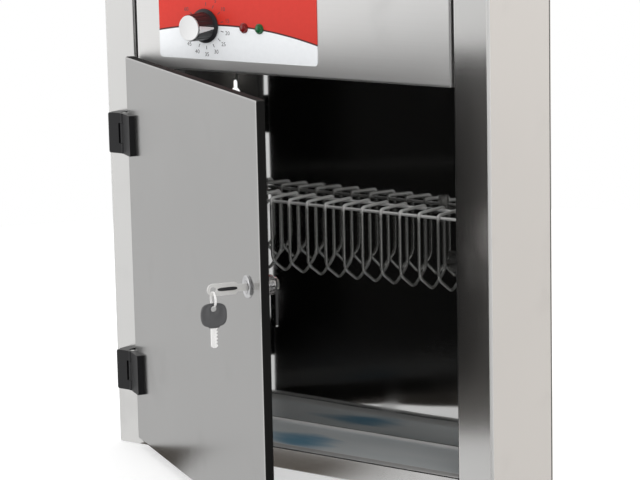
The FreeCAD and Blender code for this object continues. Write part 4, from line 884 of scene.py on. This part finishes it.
def build_knob(material):
    """Knob: hollow underneath, skirt with a soft edge, then the grip, whose flutes are
    narrow dips: a cosine of the angle, raised to the fourth power, times their depth."""
    edge = rolled(SKIRT_RADIUS, KNOB_STAND + 0.7, 0.7, -math.pi / 2, math.pi / 2, 7)
    slope = np.linspace(0, 1, 6)
    shoulder = np.stack([SKIRT_RADIUS - 0.9 + (GRIP_RADIUS - SKIRT_RADIUS + 0.9) * slope,
                         KNOB_STAND + 1.5 + (SKIRT_TOP - KNOB_STAND - 1.5) * slope ** 0.7],
                        axis=1)
    height = np.concatenate([np.linspace(SKIRT_TOP + 0.3, GRIP_TOP - 1.2, 12),
                             GRIP_TOP - 1 + np.sin(np.linspace(0, math.pi / 2, 6))])
    grip = np.stack([grip_radius(height), height], axis=1)
    top = [(CAP_RADIUS + 0.12, GRIP_TOP), (CAP_RADIUS + 0.1, GRIP_TOP - 0.4),
           (SHAFT_RADIUS, GRIP_TOP - 0.4)]
    hollow = [(SHAFT_RADIUS, KNOB_STAND + 4), (HOLLOW_RADIUS, KNOB_STAND + 4),
              (HOLLOW_RADIUS, KNOB_STAND)]
    profile = np.concatenate([edge, shoulder, grip, top, hollow])

    def wave(height, angle):
        dip = (0.5 + 0.5 * np.cos(FLUTES * angle)) ** 4
        foot, head = (height - SKIRT_TOP) / 1.5, (GRIP_TOP - height) / 1.5
        return -FLUTE_DEPTH * dip * np.clip(foot, 0, 1) * np.clip(head, 0, 1)

    whole = turned(profile, 168)
    shaped = turned(profile, 168, wave)
    outer = len(edge) + len(shoulder)
    whole[outer:outer + len(grip)] = shaped[outer:outer + len(grip)]
    return skin("timer_grip", [on_timer(whole)], material, closed=True, crease=50)


def build_pointer(material):
    """Pointer: a wedge that follows the grip's side, its half-width shrinking from 3.6 mm at
    the disc to 0.8 mm at the skirt, raised 0.25 mm with rolled edges."""
    height = np.linspace(SKIRT_TOP + 0.4, GRIP_TOP - 0.1, 24)
    half = np.interp(height, (SKIRT_TOP, GRIP_TOP), (0.8, 3.6))
    share = np.array([-1, -0.95, -0.8, 0, 0.8, 0.95, 1, 0.8, 0, -0.8])
    lift = np.array([-0.3, 0.15, 0.25, 0.25, 0.25, 0.15, -0.3, -0.6, -0.6, -0.6])
    aside = half[:, None] * share[None, :]
    reach = np.sqrt(grip_radius(height)[:, None] ** 2 - aside ** 2) + lift[None, :]
    cosine, sine = math.cos(POINTER_TURN), math.sin(POINTER_TURN)
    rings = np.stack([reach * cosine - aside * sine, reach * sine + aside * cosine,
                      np.broadcast_to(height[:, None], reach.shape)], axis=-1)
    return skin("timer_pointer", [on_timer(rings)], material)


def build_disc_metal():
    """Turned aluminium: fine rings about the disc's middle shift its gloss and relief."""
    material = new_material("knob_disc", Metallic=1)
    tree = material.node_tree
    centred = vector_of(tree, "SUBTRACT", spot_on(tree), on_timer((0, 0, GRIP_TOP)).tolist())
    radius = vector_of(tree, "LENGTH", vector_of(tree, "MULTIPLY", centred, (1, 0, 1)))
    groove = sum_of(tree, "SINE", sum_of(tree, "MULTIPLY", radius, GROOVES))
    light = sum_of(tree, "MULTIPLY_ADD", groove, 0.03, 0.97)
    return feed(material, Base_Color=shaded(tree, (0.93, 0.93, 0.93, 1), light),
                Roughness=sum_of(tree, "MULTIPLY_ADD", groove, 0.05, 0.38),
                Normal=relief_of(tree, groove, 0.15, 0.00003))


def build_disc(material):
    """Disc: flat underneath, a rolled rim, and a face that dishes by 0.3 mm towards its
    middle as one minus the square of the radius."""
    rim = rolled(CAP_RADIUS, GRIP_TOP + 0.7, 0.6, -math.pi / 3, math.pi / 2, 7)
    radius = np.linspace(CAP_RADIUS - 1.2, 0.4, 9)
    face = np.stack([radius, GRIP_TOP + 1.3 - 0.3 * (1 - (radius / CAP_RADIUS) ** 2)], axis=1)
    profile = np.concatenate([[(0.4, GRIP_TOP - 0.38), (CAP_RADIUS, GRIP_TOP - 0.38)], rim, face])
    return skin("timer_disc", [on_timer(turned(profile, 72))], material)


put(build_knob(moulded("knob_black", (0.018, 0.018, 0.020, 1), 0.33, 1500, 0.2)), "timer_knob",
    "knob_plastic", "timer_knob")
put(build_pointer(moulded("pointer_paint", (0.62, 0.63, 0.64, 1), 0.40, 900, 0.1)),
    "timer_knob", "knob_cap_silver")
put(build_disc(build_disc_metal()), "timer_knob", "knob_cap_silver", "knob_cap")

# Pilot lights: red and green domes with shallow lobes, each pushed through the label into a
# dark body. Sizes are millimetres.
PILOTS = (("red", -50.0, (0.17, 0.006, 0.006, 1)), ("green", -31.5, (0.008, 0.10, 0.030, 1)))
PILOT_UP, LENS_RADIUS, LENS_NECK, LENS_RISE = 426.8, 5.0, 1.15, 4.2


def build_lens(name, place, material):
    """Lens: a flange with a rolled edge, a short neck, and a dome that is a quarter of an
    ellipse, with eight shallow lobes pressed into it round its axis."""
    flange = rolled(LENS_RADIUS, 0.5, 0.5, -math.pi / 2, math.pi / 2, 6)
    climb = np.linspace(0, math.pi / 2 - 0.06, 12)
    dome = np.stack([(LENS_RADIUS - 0.8) * np.cos(climb),
                     LENS_NECK + (LENS_RISE - LENS_NECK) * np.sin(climb)], axis=1)
    profile = np.concatenate([[(0.3, 0.0)], flange, dome])

    def wave(height, angle):
        foot, head = (height - LENS_NECK) / 1.5, LENS_RISE - height
        return 0.10 * np.cos(8 * angle) * np.clip(foot, 0, 1) * np.clip(head, 0, 1)

    rings = turned(profile, 64, wave) + np.array([place - DIAL_AT[0], PILOT_UP - DIAL_AT[1], 0])
    return skin(f"lens_{name}", [on_timer(rings)], material)


def lens_plastic(name, color):
    """Clear-tinted plastic: the moulded finish with a smooth clear coat on top."""
    return moulded(name, color, 0.22, 400, 0.03, Coat_Weight=0.8, Coat_Roughness=0.04)


for name, place, color in PILOTS:
    put(build_lens(name, place, lens_plastic(f"lens_{name}", color)), "cabinet",
        f"{name}_lens", f"pilot_lens_{name}")

# Control gear behind the fascia and on the ceiling plate: the timer case, pilot bodies, reed
# switch, cable gland and its nut are dark mouldings, the lamp holders, starter and terminal
# block are white ones, and the ballast is galvanised.
paint(moulded("dark_moulding", (0.075, 0.075, 0.08, 1), 0.5, 1200, 0.3), "timer_body",
      "pilot_bodies", "door_reed_switch", "cable_gland", "gland_nut")
paint(moulded("white_moulding", (0.80, 0.80, 0.78, 1), 0.45, 1200, 0.3), "lamp_holder_left",
      "lamp_holder_right", "starter_socket", "terminal_block", "starter")
paint(brushed("ballast_plate", (0.70, 0.71, 0.71, 1), 0.42, GRAIN_EVEN), "ballast")

# Lamp: clear quartz tube with bright rolled caps, held by its pins between two holders, under
# a folded aluminium reflector.


def build_quartz():
    """Quartz glass: plain transmission, with a faint haze that shifts its gloss."""
    material = new_material("quartz_tube", Transmission_Weight=0.75, IOR=1.46)
    tree = material.node_tree
    haze = noise_of(tree, spot_on(tree), 25, 2)
    return feed(material, Roughness=sum_of(tree, "MULTIPLY_ADD", haze, 0.10, 0.01),
                Base_Color=mixed(tree, haze, (0.82, 0.88, 0.95, 1), (0.90, 0.94, 0.98, 1)))


paint(build_quartz(), "uv_tube")
paint(brushed("bright_aluminium", (0.82, 0.82, 0.83, 1), 0.2, GRAIN_ACROSS), "uv_tube_caps",
      "lamp_reflector")

# Knife rack: sixteen hoops of 3 mm bright drawn wire, bent round a former and welded to two
# rails with small beads. Sizes are cabinet-frame millimetres.
WIRE_RADIUS, HOOP_PITCH, HOOP_COUNT, RACK_MIDDLE = 1.5, 21.8, 16, -3.8
HOOP_PLACES = RACK_MIDDLE + (np.arange(HOOP_COUNT) - (HOOP_COUNT - 1) / 2) * HOOP_PITCH
HOOP_CORNERS = ((45, 256), (88, 256), (88, 195), (67, 180), (45, 195))
HOOP_BEND = (4.0, 4.0, 7.0, 6.0, 7.0)
RAIL_DEPTHS, RAIL_UP, RAIL_OVERHANG, BEAD = (48, 85), 253, 6, (1.9, 1.5, 1.1)


def bent_loop(corners, bends, steps):
    """A closed bent wire: at each corner a parabola runs from a point one bend length back
    along the side before it to one bend length along the side after it."""
    corner = np.asarray(corners, float)
    before, after = np.roll(corner, 1, 0) - corner, np.roll(corner, -1, 0) - corner
    bend = np.asarray(bends)[:, None]
    start = corner + before / np.linalg.norm(before, axis=1, keepdims=True) * bend
    end = corner + after / np.linalg.norm(after, axis=1, keepdims=True) * bend
    share = np.linspace(0, 1, steps)[None, :, None]
    curve = ((1 - share) ** 2 * start[:, None] + 2 * share * (1 - share) * corner[:, None]
             + share ** 2 * end[:, None])
    return curve.reshape(-1, 2)


def build_hoops(material):
    """All hoops: one bent loop in the depth-and-height plane, made round, then repeated at
    the pitch across the cabinet."""
    loop = bent_loop(HOOP_CORNERS, HOOP_BEND, 6)
    path = np.concatenate([np.zeros((len(loop), 1)), loop], axis=1)
    rings = tube_rings(path, WIRE_RADIUS, 12, closed=True)
    return skin("rack_loops", [from_cabinet(rings + (place, 0, 0)) for place in HOOP_PLACES],
                material, closed=True)


def build_rails(material):
    """Two rails with domed ends: the radius is the square root of one minus the square of the
    way into the dome. Beads: small spheres where each hoop crosses a rail."""
    reach = HOOP_PITCH * (HOOP_COUNT - 1) / 2 + RAIL_OVERHANG
    dome = np.linspace(0.12, 1, 6)
    along = np.concatenate([-reach + (dome - 0.12) * WIRE_RADIUS,
                            reach - (dome[::-1] - 0.12) * WIRE_RADIUS])
    draw = WIRE_RADIUS * np.sqrt(1 - (1 - np.concatenate([dome, dome[::-1]])) ** 2)
    angle = round_steps(14)
    rail = np.stack([np.broadcast_to((RACK_MIDDLE + along)[:, None], (12, 14)),
                     draw[:, None] * np.cos(angle), draw[:, None] * np.sin(angle)], axis=-1)
    lift = np.linspace(0.15, math.pi - 0.15, 6)
    swing = round_steps(8)
    ball = np.stack([BEAD[0] * np.sin(lift)[:, None] * np.cos(swing),
                     BEAD[1] * np.sin(lift)[:, None] * np.sin(swing),
                     np.broadcast_to(BEAD[2] * np.cos(lift)[:, None], (6, 8))], axis=-1)
    blocks = [rail + (0, depth, RAIL_UP) for depth in RAIL_DEPTHS]
    blocks += [ball + (place, depth, RAIL_UP + WIRE_RADIUS)
               for depth in RAIL_DEPTHS for place in HOOP_PLACES]
    return skin("rack_bars", [from_cabinet(block) for block in blocks], material)


def build_wire_metal():
    """Drawn wire, made brighter at the top of the rack, over the last 8 mm of its height, as a
    painted highlight.
    """
    material = brushed("rack_wire", (0.70, 0.70, 0.68, 1), 0.22, (400, 400, 400))
    tree = material.node_tree
    # Painted highlight along the top of the rack.
    top_highlight = ramped(tree, parts_of(tree, spot_on(tree))["Z"], base_z + (RAIL_UP - 5) / 1000,
                    base_z + (RAIL_UP + 3) / 1000)
    join(tree, mixed(tree, top_highlight, (0.56, 0.56, 0.54, 1), (1.0, 1.0, 0.98, 1)),
         feeding(material, "Base Color").node.inputs["Color"])
    return feed(material, Metallic=sum_of(tree, "MULTIPLY_ADD", top_highlight, -0.35, 0.88))


RACK_WIRE = build_wire_metal()
put(build_hoops(RACK_WIRE), "knife_rack", "wire_steel", "rack_hoops")
put(build_rails(RACK_WIRE), "knife_rack", "wire_steel", "rack_rails")

# Drip tray: thin pan pressed from satin sheet, loose on the raised floor, still milky and
# bluish in places from the film it came in. Sizes are millimetres.
TRAY_HALF, TRAY_FRONT, TRAY_BACK, TRAY_LOW = 184.5, 13.0, 102.2, 15.0
STAIN_AT, STAIN_SHAPE, STAIN_RAGGED = (-35, 48), (20, 34, 0), -2.2


def build_tray(material):
    """Pan: rounded rectangles in rings, from the middle of the floor outwards and up the
    wall, over its rolled lip, then back underneath. A ring is a rectangle with corner arcs,
    drawn in by a distance; the rear wall is lower than the others."""
    swing = np.linspace(0, math.pi / 2, 7)
    turn = (swing[None, :] + np.arange(4)[:, None] * math.pi / 2).ravel()
    quarter = round_steps(4) + math.pi / 4
    sign_x, sign_y = np.sign(np.cos(quarter)).repeat(7), np.sign(np.sin(quarter)).repeat(7)
    middle = (TRAY_FRONT + TRAY_BACK) / 2
    deep = (TRAY_BACK - TRAY_FRONT) / 2
    profile = ((20, 1.0), (9.0, 1.0), (6.4, 1.2), (4.4, 2.0), (2.6, 3.6), (1.4, 5.4),
               (0.8, 5.95), (0.2, 5.8), (0.0, 5.2), (0.8, 4.0), (2.4, 2.0), (4.2, 0.6),
               (6.4, 0.0), (20, 0.0))
    rings = []
    for inset, height in profile:
        corner = max(5.0 - inset, 0.6)
        across_tray = sign_x * (TRAY_HALF - inset - corner) + corner * np.cos(turn)
        depth = middle + sign_y * (deep - inset - corner) + corner * np.sin(turn)
        rear = np.clip((depth - TRAY_BACK + 14) / 12, 0, 1)
        lower = max(height - 1.0, 0) * 0.5 * rear
        rings.append(np.stack([across_tray, depth, TRAY_LOW + height - lower], axis=1))
    return skin("tray_pan", [from_cabinet(np.stack(rings))], material, crease=50)


def build_tray_sheet():
    """Satin sheet under a milky film: less metal where the film is thick, a blue patch about
    a spot left of the middle, whose edge a noise makes ragged, and a rim made near white as
    a painted highlight."""
    material = new_material("tray_sheet")
    tree = material.node_tree
    where = spot_on(tree)
    film = noise_of(tree, stretched(tree, where, (9, 30, 30)), 1, 4)
    spot = vector_of(tree, "SUBTRACT", where, from_cabinet((*STAIN_AT, TRAY_LOW)).tolist())
    away = vector_of(tree, "LENGTH", vector_of(tree, "MULTIPLY", spot, STAIN_SHAPE))
    ragged = sum_of(tree, "MULTIPLY_ADD", film, STAIN_RAGGED, away)
    patch = ramped(tree, ragged, -0.9, 0.1, 1, 0, smooth=True)
    # Painted highlight along the tray's rim.
    rim = ramped(tree, parts_of(tree, where)["Z"], base_z + (TRAY_LOW + 1.3) / 1000,
                 base_z + (TRAY_LOW + 2.0) / 1000)
    milky = mixed(tree, film, (0.78, 0.84, 0.86, 1), (0.94, 0.95, 0.95, 1))
    stained = mixed(tree, patch, milky, (0.20, 0.42, 0.58, 1))
    return feed(material, Base_Color=mixed(tree, rim, stained, (0.96, 0.96, 0.95, 1)),
                Metallic=sum_of(tree, "MULTIPLY_ADD", film, -0.2, 0.22),
                Roughness=sum_of(tree, "MULTIPLY_ADD", film, 0.2, 0.30))


put(build_tray(build_tray_sheet()), "drip_tray", "stainless", "drip_tray")
